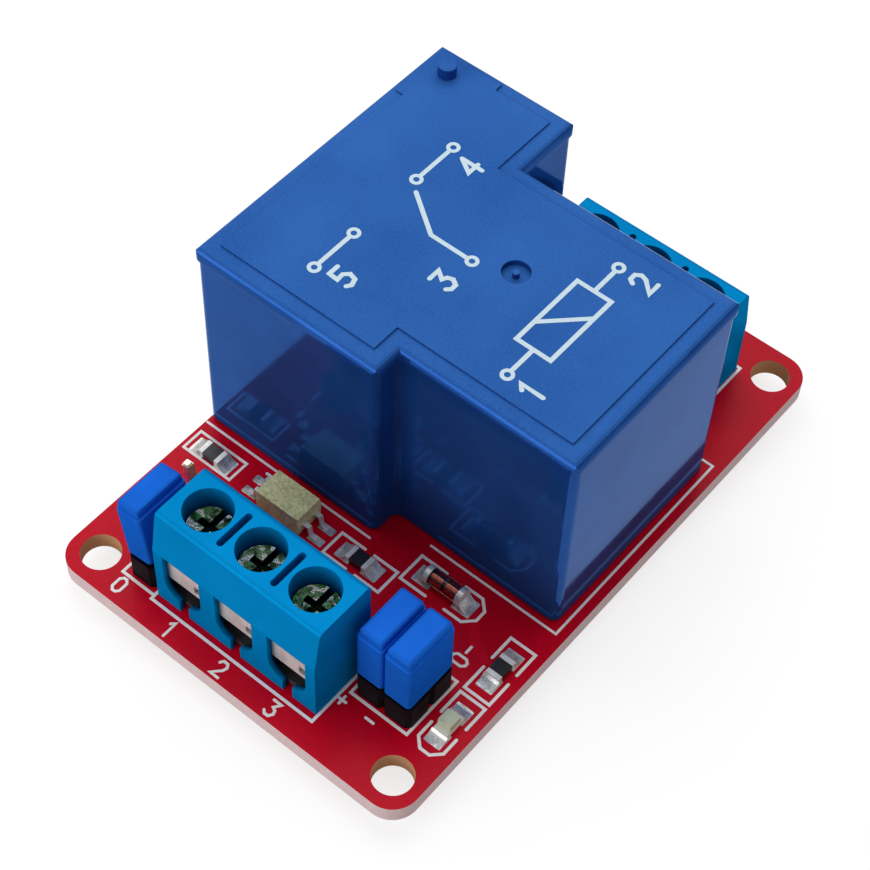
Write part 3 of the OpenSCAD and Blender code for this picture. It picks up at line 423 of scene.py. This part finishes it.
MATERIALS = {
    "pcb": solder_mask("mask_over_laminate", over_copper=False),
    "track": solder_mask("mask_over_copper", over_copper=True),
    "relay_shell": relay_plastic(),
    "relay_inside": plastic("relay_base_plastic", srgb(18, 26, 62), rough=0.40),
    "bobbin": plastic("bobbin_plastic", srgb(228, 222, 202), rough=0.38, spotted=0.4),
    "winding": winding_metal(),
    "iron": metal("plated_iron", srgb(176, 176, 172), rough=0.30, scratch=(1, 1, 0.2)),
    "spring_metal": metal("spring_alloy", srgb(214, 168, 104), rough=0.26, scratch=(0.2, 1, 1)),
    "terminal_metal": metal("terminal_alloy", srgb(206, 186, 142), rough=0.30,
                            scratch=(1, 1, 0.25)),
    "tinned": metal("tinned_sheet", srgb(244, 244, 240), rough=0.34, scratch=(0.3, 1, 1),
                    tarnish=srgb(214, 214, 208), depth=0.002, metallic=0.5),
    # Painted shade: a dark grey metal for the contact frames, standing in for the shade inside the
    # ports.
    "shaded_frame_metal": metal("shaded_frame_sheet", srgb(104, 104, 104), rough=0.42, scratch=(1, 1, 0.3),
                         metallic=0.8),
    "block_plastic": block_plastic(),
    "header_plastic": plastic("header_plastic", srgb(14, 14, 20), rough=0.5, spotted=0.4,
                              specular=0.05),
    "pin_metal": metal("pin_plating", srgb(238, 232, 214), rough=0.28, scratch=(1, 1, 0.2),
                       tarnish=srgb(206, 196, 170), depth=0.002),
    "cap_plastic": plastic("cap_plastic", srgb(30, 108, 222), rough=0.44, grain=8.0, depth=0.016,
                           spotted=0.24, dark=0.86, tint=(0.15, 0.55, 1.0, 1.0)),
    "opto_plastic": speckled("opto_compound", srgb(255, 254, 196), srgb(208, 206, 142),
                             rough=0.62),
    "resistor_black": speckled("resistor_glaze", srgb(34, 34, 38), srgb(16, 16, 19), rough=0.28),
    "diode_glass": glass("diode_glass", (0.96, 0.70, 0.58, 1.0), rough=0.03),
    "led_white": plastic("led_laminate", srgb(232, 230, 218), rough=0.5, spotted=0.4),
    "led_lens": resin("led_resin", srgb(226, 236, 206), rough=0.16),
    "chip_black": speckled("chip_compound", srgb(40, 40, 42), srgb(20, 20, 22), rough=0.5),
    "solder": solder_metal(),
    "silk": ink("board_ink", srgb(248, 246, 246)),
    "print": ink("relay_ink", srgb(206, 228, 240)),
    "slug": metal("diode_slug", srgb(206, 110, 84), rough=0.30),
    "die": metal("silicon_die", srgb(70, 74, 84), rough=0.25),
    "phosphor": speckled("led_phosphor", srgb(206, 214, 150), srgb(182, 190, 120), rough=0.6),
}


def dress(node, material):
    """Gives a CAD node's object a material in every slot."""
    o = frame["nodes"][node]
    if not o.material_slots:
        o.data.materials.append(material)
    for s in o.material_slots:
        s.material = material


for row in frame["record"]["subparts"]:
    node, slot = row["node"], row["material_slot"]
    if slot == "screw_metal":
        dress(node, screw_metal("plating_" + node, mid(node), box(node)[1].z).material)
    elif node.startswith(("input_contact_", "output_contact_")):
        # The contact frames take the dark grey metal, painted shade inside the ports.
        dress(node, MATERIALS["shaded_frame_metal"].material)
    else:
        dress(node, MATERIALS[slot].material)


# -------------------------------------------------------------------- pieces

def circle(x, y, r, n):
    """n points round a circle, from +X."""
    turn = 2 * math.pi / n
    return [(x + r * math.cos(turn * k), y + r * math.sin(turn * k)) for k in range(n)]


def rounded(x0, y0, x1, y1, r, n=4):
    """Outline of a rectangle whose corners are rounded by r, in n steps each."""
    pts = []
    corners = ((x1 - r, y1 - r), (x0 + r, y1 - r), (x0 + r, y0 + r), (x1 - r, y0 + r))
    for quarter, (cx, cy) in enumerate(corners):
        for k in range(n + 1):
            t = math.radians(90 * quarter + 90 * k / n)
            pts.append((cx + r * math.cos(t), cy + r * math.sin(t)))
    return pts


def closed_box(x0, y0, x1, y1):
    """Points of a line round a rectangle."""
    return (x0, y0), (x1, y0), (x1, y1), (x0, y1), (x0, y0)


class Build:
    """Collects solids into one piece. Flat shapes lie between the heights z0 and z1."""

    LIFT = 0.0006       # between strokes that cross, so that their faces don't coincide
    LIFTS = 9           # heights before the first one is used again
    CAP_STEPS = 6       # sides of a stroke's round end
    LEAST_MITRE = 0.5   # bounds how far a sharp corner reaches out

    def __init__(self, z0=0.0, z1=0.0):
        self.z0, self.z1 = z0, z1
        self.verts, self.faces, self.strokes = [], [], 0

    def bridge(self, a, b):
        """Faces between two rows of vertices that close on themselves."""
        n = len(a)
        self.faces += [[a[k], a[(k + 1) % n], b[(k + 1) % n], b[k]] for k in range(n)]

    def row(self, pts, z):
        """Adds points at one height, and gives the numbers of their vertices."""
        k0 = len(self.verts)
        self.verts += [(x, y, z) for x, y in pts]
        return list(range(k0, len(self.verts)))

    def prism(self, outline):
        """A flat solid with that outline."""
        low_row, high_row = self.row(outline, self.z0), self.row(outline, self.z1)
        self.faces += [low_row[::-1], high_row]
        self.bridge(low_row, high_row)

    def ring(self, x, y, r0, r1, n=28):
        """A flat ring between two radii."""
        inner, outer = circle(x, y, r0, n), circle(x, y, r1, n)
        rows = [self.row(pts, z) for pts, z in ((inner, self.z0), (outer, self.z0),
                                                (outer, self.z1), (inner, self.z1))]
        for a, b in zip(rows, rows[1:] + rows[:1]):
            self.bridge(a, b)

    def lathe(self, x, y, profile, n=20):
        """A turned solid about a vertical axis; profile is [(radius, z), ...]."""
        rows = [self.row(circle(x, y, r, n), z) for r, z in profile]
        for a, b in zip(rows, rows[1:]):
            self.bridge(a, b)
        self.faces += [rows[0][::-1], rows[-1]]

    def rod(self, x0, x1, y, z, r, n=20):
        """A round rod along X, closed by fans of triangles."""
        rims, hubs = [], []
        for x in (x0, x1):
            hubs.append(len(self.verts))
            self.verts.append((x, y, z))
            self.verts += [(x, ry, rz) for ry, rz in circle(y, z, r, n)]
            rims.append([hubs[-1] + 1 + k for k in range(n)])
        self.bridge(*rims)
        for hub, rim in zip(hubs, rims):
            self.faces += [[hub, rim[k], rim[(k + 1) % n]] for k in range(n)]

    def stroke(self, pts, width):
        """A line along pts: mitred corners, and round ends unless it closes on itself.

        Each point has four vertices: left low, left high, right low and right high.
        """
        pts = [Vector(p[:2]) for p in pts]
        closed = (pts[0] - pts[-1]).length < 1e-6
        if closed:
            pts.pop()
        self.strokes += 1
        heights = self.z0, self.z1 + self.LIFT * (self.strokes % self.LIFTS)
        half, n, k0 = width / 2, len(pts), len(self.verts)
        spans = n if closed else n - 1
        dirs = [(pts[(i + 1) % n] - pts[i]).normalized() for i in range(spans)]
        for i, p in enumerate(pts):
            before = dirs[i - 1] if closed or i else dirs[0]
            after = dirs[i] if i < spans else dirs[-1]
            along = (before + after).normalized() if (before + after).length > 1e-6 else before
            side = Vector((-along.y, along.x))
            mitre = abs(side.dot(Vector((-before.y, before.x))))
            reach = side * (half / max(self.LEAST_MITRE, mitre))
            self.verts += [(q.x, q.y, z) for q in (p + reach, p - reach) for z in heights]
        for i in range(spans):
            a, b = k0 + 4 * i, k0 + 4 * ((i + 1) % n)
            self.faces += [[a + 1, a + 3, b + 3, b + 1], [a, b, b + 2, a + 2],
                           [a, a + 1, b + 1, b], [a + 2, b + 2, b + 3, a + 3]]
        if not closed:
            self.cap(pts[0], -dirs[0], half, heights, k0, k0 + 2)
            self.cap(pts[-1], dirs[-1], half, heights, k0 + 4 * n - 2, k0 + 4 * n - 4)

    def cap(self, centre, outward, half, heights, start, end):
        """The round end of a stroke, from its vertex start round to its vertex end."""
        first = math.atan2(outward.y, outward.x) - math.pi / 2
        rim = [start]
        for step in range(1, self.CAP_STEPS):
            t = first + math.pi * step / self.CAP_STEPS
            q = centre + Vector((math.cos(t), math.sin(t))) * half
            rim.append(len(self.verts))
            self.verts += [(q.x, q.y, z) for z in heights]
        rim.append(end)
        self.faces += [[v + 1 for v in rim], rim[::-1]]
        self.faces += [[a, b, b + 1, a + 1] for a, b in zip(rim, rim[1:])]

    def piece(self, name, mat):
        """Makes the piece, which rides on the board."""
        me = bpy.data.meshes.new(name)
        me.from_pydata([Vector(v) * MM for v in self.verts], [], self.faces)
        bm = bmesh.new()
        bm.from_mesh(me)
        bmesh.ops.remove_doubles(bm, verts=bm.verts, dist=1e-8)
        bmesh.ops.recalc_face_normals(bm, faces=bm.faces)
        bm.to_mesh(me)
        bm.free()
        me.materials.append(MATERIALS[mat].material)
        o = bpy.data.objects.new(name, me)
        bpy.context.scene.collection.objects.link(o)
        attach(o, "board")


# Digits and signs drawn with one pen, in a cell 0.6 wide and 1 high.
GLYPHS = {
    "0": [[(0.2, 0), (0.4, 0), (0.58, 0.2), (0.58, 0.8), (0.4, 1), (0.2, 1), (0.02, 0.8),
           (0.02, 0.2), (0.2, 0)]],
    "1": [[(0.1, 0.8), (0.32, 1), (0.32, 0)]],
    "2": [[(0.03, 0.78), (0.16, 0.97), (0.44, 0.97), (0.58, 0.75), (0.5, 0.5), (0.03, 0),
           (0.6, 0)]],
    "3": [[(0.03, 0.97), (0.56, 0.97), (0.3, 0.6), (0.5, 0.5), (0.58, 0.28), (0.42, 0.03),
           (0.16, 0.03), (0.02, 0.18)]],
    "4": [[(0.45, 1), (0.02, 0.32), (0.6, 0.32)], [(0.45, 0), (0.45, 1)]],
    "5": [[(0.55, 1), (0.08, 1), (0.05, 0.58), (0.38, 0.6), (0.58, 0.4), (0.5, 0.1), (0.2, 0),
           (0.02, 0.12)]],
    "+": [[(0.06, 0.5), (0.54, 0.5)], [(0.3, 0.26), (0.3, 0.74)]],
    "-": [[(0.06, 0.5), (0.54, 0.5)]],
}
GLYPH_STEP = 0.86   # from one digit to the next, in heights
RIGHTWARDS, LEFTWARDS, REARWARDS = (1, 0), (-1, 0), (0, 1)


def write(build, text, at, height, pen, along=RIGHTWARDS):
    """Writes text with a pen of that width, from at and in the direction along."""
    u = Vector(along)
    v = Vector((-u.y, u.x))
    origin = Vector(at)
    for ch in text:
        for glyph_line in GLYPHS[ch]:
            build.stroke([origin + (u * a + v * b) * height for a, b in glyph_line], pen)
        origin = origin + u * (GLYPH_STEP * height)


# ------------------------------------------------------------------ printing

PEN, THIN_PEN, DIGIT_PEN = 0.24, 0.2, 0.22
silk = Build(TOP + 0.006, TOP + 0.03)


def line(*pts, pen=PEN):
    """Prints a line on the board."""
    silk.stroke(pts, pen)


# The trigger header's outline is open to the rear, with a short hook on its right.
left, right, front = TRIG_LO.x - 0.35, TRIG_HI.x + 0.3, TRIG_LO.y - 0.35
line((left, TRIG_HI.y + 0.3), (left, front), (right, front), (right, front + 0.55))

# The input block's outline is open on its left side.
left, right, front, rear = IN_LO.x - 0.15, IN_HI.x + 0.15, IN_LO.y - 0.6, IN_HI.y + 0.3
line((left, front + 0.75), (left, front), (right, front), (right, rear), (left, rear),
     (left, rear - 1.2))

line(*closed_box(SUPPLY_LO.x - 0.08, SUPPLY_LO.y - 0.28, SUPPLY_HI.x + 0.08, SUPPLY_HI.y + 0.28))

# The relay's outline follows its T: the wide part at the left, and the stem at the right.
RELAY_GAP = 0.36
NEAR_FACE = 1.2     # a vertex so near a face of the cover belongs to it
cover = points("relay_cover")
front_step = max(v.x for v in cover if v.y < COVER_LO.y + NEAR_FACE)
rear_step = max(v.x for v in cover if v.y > COVER_HI.y - NEAR_FACE)
stem_front = min(v.y for v in cover if v.x > front_step + NEAR_FACE) - RELAY_GAP
stem_rear = max(v.y for v in cover if v.x > rear_step + NEAR_FACE) + RELAY_GAP
board_edge, stem_end = PCB_LO.x + 0.15, COVER_HI.x + RELAY_GAP
front, rear = COVER_LO.y - RELAY_GAP, COVER_HI.y + RELAY_GAP
line((board_edge, front), (front_step - 0.2, front), pen=THIN_PEN)
line((front_step + 3.8, stem_front), (stem_end, stem_front), (stem_end, stem_rear),
     (OUT_HI.x + 0.5, stem_rear), pen=THIN_PEN)
line((rear_step - 0.4, rear), (board_edge, rear), pen=THIN_PEN)

right, rear = OUT_HI.x + 0.2, OUT_HI.y + 0.3
line((OUT_LO.x - 0.15, rear), (right, rear), (right, OUT_LO.y))


def brackets(node, reach, half, gap, along_x, nose=0):
    """Two facing brackets round a chip; nose is the side whose bracket is rounded."""
    c = mid(node)

    def at(a, b):
        return (c.x + a, c.y + b) if along_x else (c.x - b, c.y + a)

    for s in (-1, 1):
        if s == nose:
            k = half * 0.62
            line(at(s * gap, half), at(s * (reach - k), half), at(s * reach, half - k),
                 at(s * reach, k - half), at(s * (reach - k), -half), at(s * gap, -half))
        else:
            line(at(s * gap, half), at(s * reach, half), at(s * reach, -half), at(s * gap, -half))


r1, opto, transistor = mid("resistor_1"), mid("optocoupler"), mid("transistor")
line(*closed_box(r1.x - 2.42, r1.y - 0.85, r1.x + 2.42, r1.y + 1.15), pen=DIGIT_PEN)
brackets("resistor_2", reach=2.75, half=1.15, gap=0.45, along_x=True)
brackets("resistor_3", reach=2.72, half=1.15, gap=0.5, along_x=False)
brackets("light_lens", reach=2.72, half=1.15, gap=0.55, along_x=False, nose=-1)
brackets("diode", reach=3.35, half=1.3, gap=0.9, along_x=True, nose=1)
line((opto.x - 3.6, opto.y + 1.5), (opto.x - 2.7, opto.y + 1.5))
line((opto.x + 2.7, opto.y - 1.5), (opto.x + 3.6, opto.y - 1.5))
for x in (transistor.x - 1.7, transistor.x + 1.7):
    line((x, transistor.y + 0.5), (x, transistor.y - 0.5), pen=THIN_PEN)

for digit in "123":
    x = mid("input_screw_" + digit).x - 0.4
    write(silk, digit, (x, IN_LO.y - 2.35), height=1.35, pen=DIGIT_PEN)
    x = mid("output_screw_" + digit).x + 0.4
    write(silk, digit, (x, OUT_HI.y + 2.1), height=1.35, pen=DIGIT_PEN, along=LEFTWARDS)
write(silk, "0", (TRIG_LO.x - 0.1, TRIG_LO.y - 2.0), height=1.3, pen=DIGIT_PEN)
write(silk, "+", (SUPPLY_LO.x - 0.6, SUPPLY_LO.y - 1.9), height=1.5, pen=DIGIT_PEN)
write(silk, "-", (SUPPLY_LO.x + 2.0, SUPPLY_LO.y - 1.9), height=1.5, pen=DIGIT_PEN)
write(silk, "0-", (SUPPLY_HI.x - 0.3, SUPPLY_HI.y + 1.4), height=1.3, pen=DIGIT_PEN,
      along=REARWARDS)
write(silk, "+", (r1.x + 2.0, r1.y - 2.7), height=1.1, pen=THIN_PEN)
silk.piece("board_printing", "silk")

# ---------------------------------------------------------------------- pads

pads = Build(TOP + 0.004, TOP + 0.04)


def pad(x, y, half_x, half_y):
    """A solder pad round a place on the board."""
    pads.prism(rounded(x - half_x, y - half_y, x + half_x, y + half_y, r=0.1))


def end_pads(node, inner, outer, half, along_x):
    """Pads under both ends of a chip, from inner to outer and half to either side."""
    c = mid(node)
    along, length = (inner + outer) / 2, (outer - inner) / 2
    for s in (-1, 1):
        if along_x:
            pad(c.x + s * along, c.y, length, half)
        else:
            pad(c.x, c.y + s * along, half, length)


for node, along_x in (("resistor_1", True), ("resistor_2", True), ("resistor_3", False),
                      ("light_carrier", False)):
    end_pads(node, inner=0.55, outer=2.0, half=0.75, along_x=along_x)
end_pads("diode", inner=1.1, outer=2.75, half=0.8, along_x=True)
for dy in (-0.635, 0.635):
    for dx in (-3.35, 3.35):
        pad(opto.x + dx, opto.y + dy, half_x=0.7, half_y=0.35)
for dx, dy in ((-0.95, 1.05), (0.95, 1.05), (0, -1.05)):
    pad(transistor.x + dx, transistor.y + dy, half_x=0.4, half_y=0.5)
pads.piece("solder_pads", "solder")

# -------------------------------- what shows through the diode and the light

diode = mid("diode")
slugs = Build()
for s in (-1, 1):
    x0, x1 = sorted((diode.x + s * 0.16, diode.x + s * 1.2))
    slugs.rod(x0, x1, diode.y, diode.z, r=0.42)
slugs.piece("diode_slugs", "slug")
die = Build(diode.z - 0.28, diode.z + 0.28)
die.prism(rounded(diode.x - 0.13, diode.y - 0.28, diode.x + 0.13, diode.y + 0.28,
                  r=0.04))
die.piece("diode_chip", "die")

lens, lens_foot = mid("light_lens"), box("light_lens")[0].z
chip = Build(lens_foot + 0.05, lens_foot + 0.22)
chip.prism(rounded(lens.x - 0.32, lens.y - 0.32, lens.x + 0.32, lens.y + 0.32, r=0.08))
chip.piece("light_chip", "phosphor")

# --------------------------------------------------------------- relay print

# A relay's own wiring sign: a coil, and a contact that changes over between two posts. Places
# are counted from the cover's front left corner, and the print lies on the field of its top.
SIGN_PEN = 0.36
PAST_NIB = 6        # the vent nib, which is higher than the field, ends before this from the left
field_z = max(v.z for v in cover if v.x > COVER_LO.x + PAST_NIB)
sign = Build(field_z + 0.002, field_z + 0.022)


def on_relay(x, y):
    """A place on the relay's top in the frame of the part."""
    return COVER_LO.x + x, COVER_LO.y + y


for pts in (
    closed_box(22.8, 8.6, 25.8, 15.6),
    ((22.8, 10.6), (25.8, 13.6)),
    ((24.3, 8.6), (24.3, 6.2)),
    ((24.3, 15.6), (24.3, 18.0)),
    ((15.5, 12.1), (12.2, 12.1), (8.7, 14.6)),
    ((7.9, 16.1), (7.9, 19.4)),
    ((7.9, 8.1), (7.9, 4.8)),
):
    sign.stroke([on_relay(*p) for p in pts], SIGN_PEN)
for x, y in ((24.3, 5.7), (24.3, 18.5), (16.0, 12.1), (7.9, 15.6), (7.9, 8.6), (7.9, 4.3),
             (7.9, 19.9)):
    sign.ring(*on_relay(x, y), r0=0.24, r1=0.54)
for digit, x, y in (("1", 27.4, 5.1), ("2", 27.4, 17.9), ("3", 16.6, 8.8), ("4", 11.0, 18.6),
                    ("5", 11.0, 4.4)):
    write(sign, digit, on_relay(x, y), height=1.9, pen=SIGN_PEN, along=REARWARDS)
sign.piece("relay_wiring_sign", "print")

# ----------------------------------------------------------------- underside

COPPER_LOW, COPPER_HIGH = -0.035, -0.002
TAIL_TIP = 0.4      # height of a tail's end, whose vertices find its place
TAIL_WIDTH = 1.9    # vertices nearer than this belong to one tail


def feet(node):
    """Where a node's tails leave the board's underside, in order of y."""
    verts = points(node)
    lowest = min(v.z for v in verts)
    found = []
    tips = (v for v in verts if v.z < lowest + TAIL_TIP)
    for v in sorted(tips, key=lambda v: (round(v.y, 1), v.x)):
        for group in found:
            if (group[0] - v).length < TAIL_WIDTH:
                group.append(v)
                break
        else:
            found.append([v])
    return [Vector((sum(v.x for v in q) / len(q), sum(v.y for v in q) / len(q))) for q in found]


def foot(node):
    """Where a node's only or foremost tail leaves the underside."""
    return feet(node)[0]


no, nc, common = foot("no_terminal"), foot("nc_terminal"), foot("common_terminal")
ins = [foot("input_contact_%d" % i) for i in (1, 2, 3)]
outs = [foot("output_contact_%d" % i) for i in (1, 2, 3)]
trig, supply = feet("trigger_pins"), feet("supply_pins")
coil = foot("coil_pins")

# Broad tracks carry the switched current, and a bead of solder runs along each.
under = Build(COPPER_LOW, COPPER_HIGH)
tinning = Build(COPPER_LOW - 0.16, COPPER_LOW + 0.01)
for pts, width in (
    ([no, (no.x, no.y - 5.0), (no.x + 2.5, no.y - 7.5), (outs[0].x - 5.0, no.y - 7.5),
      (outs[0].x - 1.6, no.y - 4.0), (outs[0].x - 1.6, outs[0].y - 4.2), outs[0]], 3.0),
    ([common, (common.x + 2.0, common.y + 3.0), (outs[1].x, common.y + 6.0), outs[1]], 3.2),
    ([nc, (nc.x + 3.0, nc.y + 2.6), (outs[2].x - 2.4, outs[2].y - 2.6), outs[2]], 3.2),
):
    under.stroke(pts, width)
    tinning.stroke(pts, width * 0.45)

# Narrow ones join the coil, the input block and the two headers.
under.stroke([(r1.x + 1.4, r1.y), (r1.x + 3.5, r1.y + 2.0), (common.x + 6.0, r1.y + 2.0), coil],
             0.5)
for pin, dx in zip(ins, (-2.2, 0.0, 2.2)):
    under.stroke([pin, (pin.x + dx, pin.y + 3.4), (pin.x + dx * 1.6, pin.y + 6.2)], 0.8)
under.stroke([ins[0], (ins[0].x - 2.6, ins[0].y - 2.6), trig[1]], 0.6)
under.stroke([trig[0], (trig[0].x + 3.1, trig[0].y - 1.5), (supply[0].x - 1.8, trig[0].y - 1.5),
              (supply[0].x, supply[0].y - 1.6), supply[0]], 0.6)
# Copper rings surround the bolt holes.
for x in (-HOLE_X, HOLE_X):
    for y in (-HOLE_Y, HOLE_Y):
        under.ring(x, y, r0=HOLE_R + 0.15, r1=HOLE_R + 0.85)
under.piece("underside_tracks", "track")
tinning.piece("underside_tinning", "solder")

# ----------------------------------------- tracks and vias of the upper side

# The tracks stand a little above the laminate, under the mask.
tracks = Build(TOP + 0.001, TOP + 0.018)
for pts, width in (
    ([(r1.x, r1.y - 1.2), (r1.x, r1.y - 3.0), trig[2]], 0.6),
    ([(opto.x - 3.4, opto.y - 0.6), (opto.x - 3.4, opto.y - 3.0),
      (transistor.x - 1.2, transistor.y - 1.6)], 0.5),
    ([(opto.x + 3.4, opto.y - 0.6), (opto.x + 3.9, opto.y - 2.4),
      (transistor.x + 1.0, transistor.y + 1.6)], 0.5),
    ([(diode.x - 2.6, diode.y), (diode.x - 3.6, diode.y - 1.4), (diode.x - 3.6, diode.y - 5.2)],
     0.8),
    ([(diode.x + 2.6, diode.y), (diode.x + 4.4, diode.y - 2.0),
      (SUPPLY_HI.x + 1.9, SUPPLY_HI.y + 2.4)], 0.8),
):
    tracks.stroke(pts, width)
tracks.piece("part_side_tracks", "track")

# A via is a low ring of solder with a dimple in its middle.
VIA = ((0.42, TOP + 0.002), (0.4, TOP + 0.03), (0.2, TOP + 0.034), (0.15, TOP + 0.008))
vias = Build()
for x, y in ((r1.x + 3.2, r1.y - 1.6), (transistor.x + 3.4, transistor.y + 1.0),
             (diode.x - 3.6, diode.y - 5.4)):
    vias.lathe(x, y, VIA)
vias.piece("vias", "solder")

# --------------------------------------------------------------------- stage

FLOOR_HALF = 900.0
LAMP_AIM = Vector((0, 0, 8))
FLOOR_GAP = 0.01    # between the floor and the lowest tail
LOWEST_NODES = ("tail_solder", "common_terminal", "coil_pins")


def floor_material():
    """A pale floor that takes the object's shadow.

    What the camera sees, and what metal and glass show, glows almost white. The light that the
    floor throws back on the object is that of a plain grey.
    """
    m = Mat("floor")
    m.tree.nodes.remove(m.shader)
    grey = m.add("ShaderNodeBsdfDiffuse", None, {"Color": (0.45, 0.45, 0.45, 1.0)})
    shaded = m.add("ShaderNodeBsdfDiffuse", None, {"Color": (0.32, 0.32, 0.32, 1.0)})
    glow = m.add("ShaderNodeEmission", None, {"Color": (1, 1, 1, 1), "Strength": 0.76})
    seen = m.add("ShaderNodeAddShader", None, {0: shaded.outputs[0], 1: glow.outputs[0]})
    path = m.add("ShaderNodeLightPath").outputs
    is_seen = m.math("MAXIMUM", path["Is Camera Ray"], path["Is Glossy Ray"])
    is_seen = m.math("MAXIMUM", is_seen, path["Is Transmission Ray"])
    both = m.add("ShaderNodeMixShader", None,
                 {0: is_seen, 1: grey.outputs[0], 2: seen.outputs[0]})
    m.link(both.outputs[0], m.output.inputs[0])
    return m.material


floor_z = min(box(node)[0].z for node in LOWEST_NODES) - FLOOR_GAP
floor_mesh = bpy.data.meshes.new("floor")
floor_mesh.from_pydata([Vector((x * FLOOR_HALF, y * FLOOR_HALF, floor_z)) * MM
                        for x, y in ((-1, -1), (1, -1), (1, 1), (-1, 1))], [], [[0, 1, 2, 3]])
floor_mesh.materials.append(floor_material())
floor = bpy.data.objects.new("floor", floor_mesh)
bpy.context.scene.collection.objects.link(floor)

world = bpy.data.worlds.new("world")
bpy.context.scene.world = world
world.use_nodes = True
background = world.node_tree.nodes["Background"]
background.inputs["Color"].default_value = (1.0, 1.0, 1.0, 1.0)
background.inputs["Strength"].default_value = 0.45


def lamp(name, at, diameter, watts):
    """A round soft light that faces the middle of the object."""
    light = bpy.data.lights.new(name, "AREA")
    light.shape = "DISK"
    light.size = diameter * MM
    light.energy = watts
    o = bpy.data.objects.new(name, light)
    o.location = Vector(at) * MM
    o.rotation_euler = (Vector(at) - LAMP_AIM).to_track_quat("Z", "Y").to_euler()
    bpy.context.scene.collection.objects.link(o)


lamp("key", (-110, 120, 260), diameter=380, watts=0.52)
lamp("front", (-110, -310, 150), diameter=240, watts=0.40)

# -------------------------------------------------------------------- camera

# Fitted to the photo: the camera looks from the front right, and is slightly tilted.
AZIMUTH, ELEVATION, ROLL = math.radians(37.33), math.radians(53.50), math.radians(2.82)
DISTANCE, LENS = 169.7, 88.1
AIM = Vector((-3.066, 2.235, 0.0))

back = Vector((math.sin(AZIMUTH) * math.cos(ELEVATION),
               -math.cos(AZIMUTH) * math.cos(ELEVATION), math.sin(ELEVATION)))
level = Vector((math.cos(AZIMUTH), math.sin(AZIMUTH), 0))
upright = level.cross(-back)
across = level * math.cos(ROLL) + upright * math.sin(ROLL)
up = -level * math.sin(ROLL) + upright * math.cos(ROLL)
camera_data = bpy.data.cameras.new("camera")
camera_data.lens = LENS
camera_data.sensor_width = 36.0
camera_data.clip_start = 0.005
camera_data.clip_end = 10.0
camera = bpy.data.objects.new("camera", camera_data)
turned = Matrix((across, up, back)).transposed().to_4x4()
camera.matrix_world = Matrix.Translation((AIM + back * DISTANCE) * MM) @ turned
bpy.context.scene.collection.objects.link(camera)
bpy.context.scene.camera = camera
bpy.context.scene.view_settings.view_transform = "Standard"
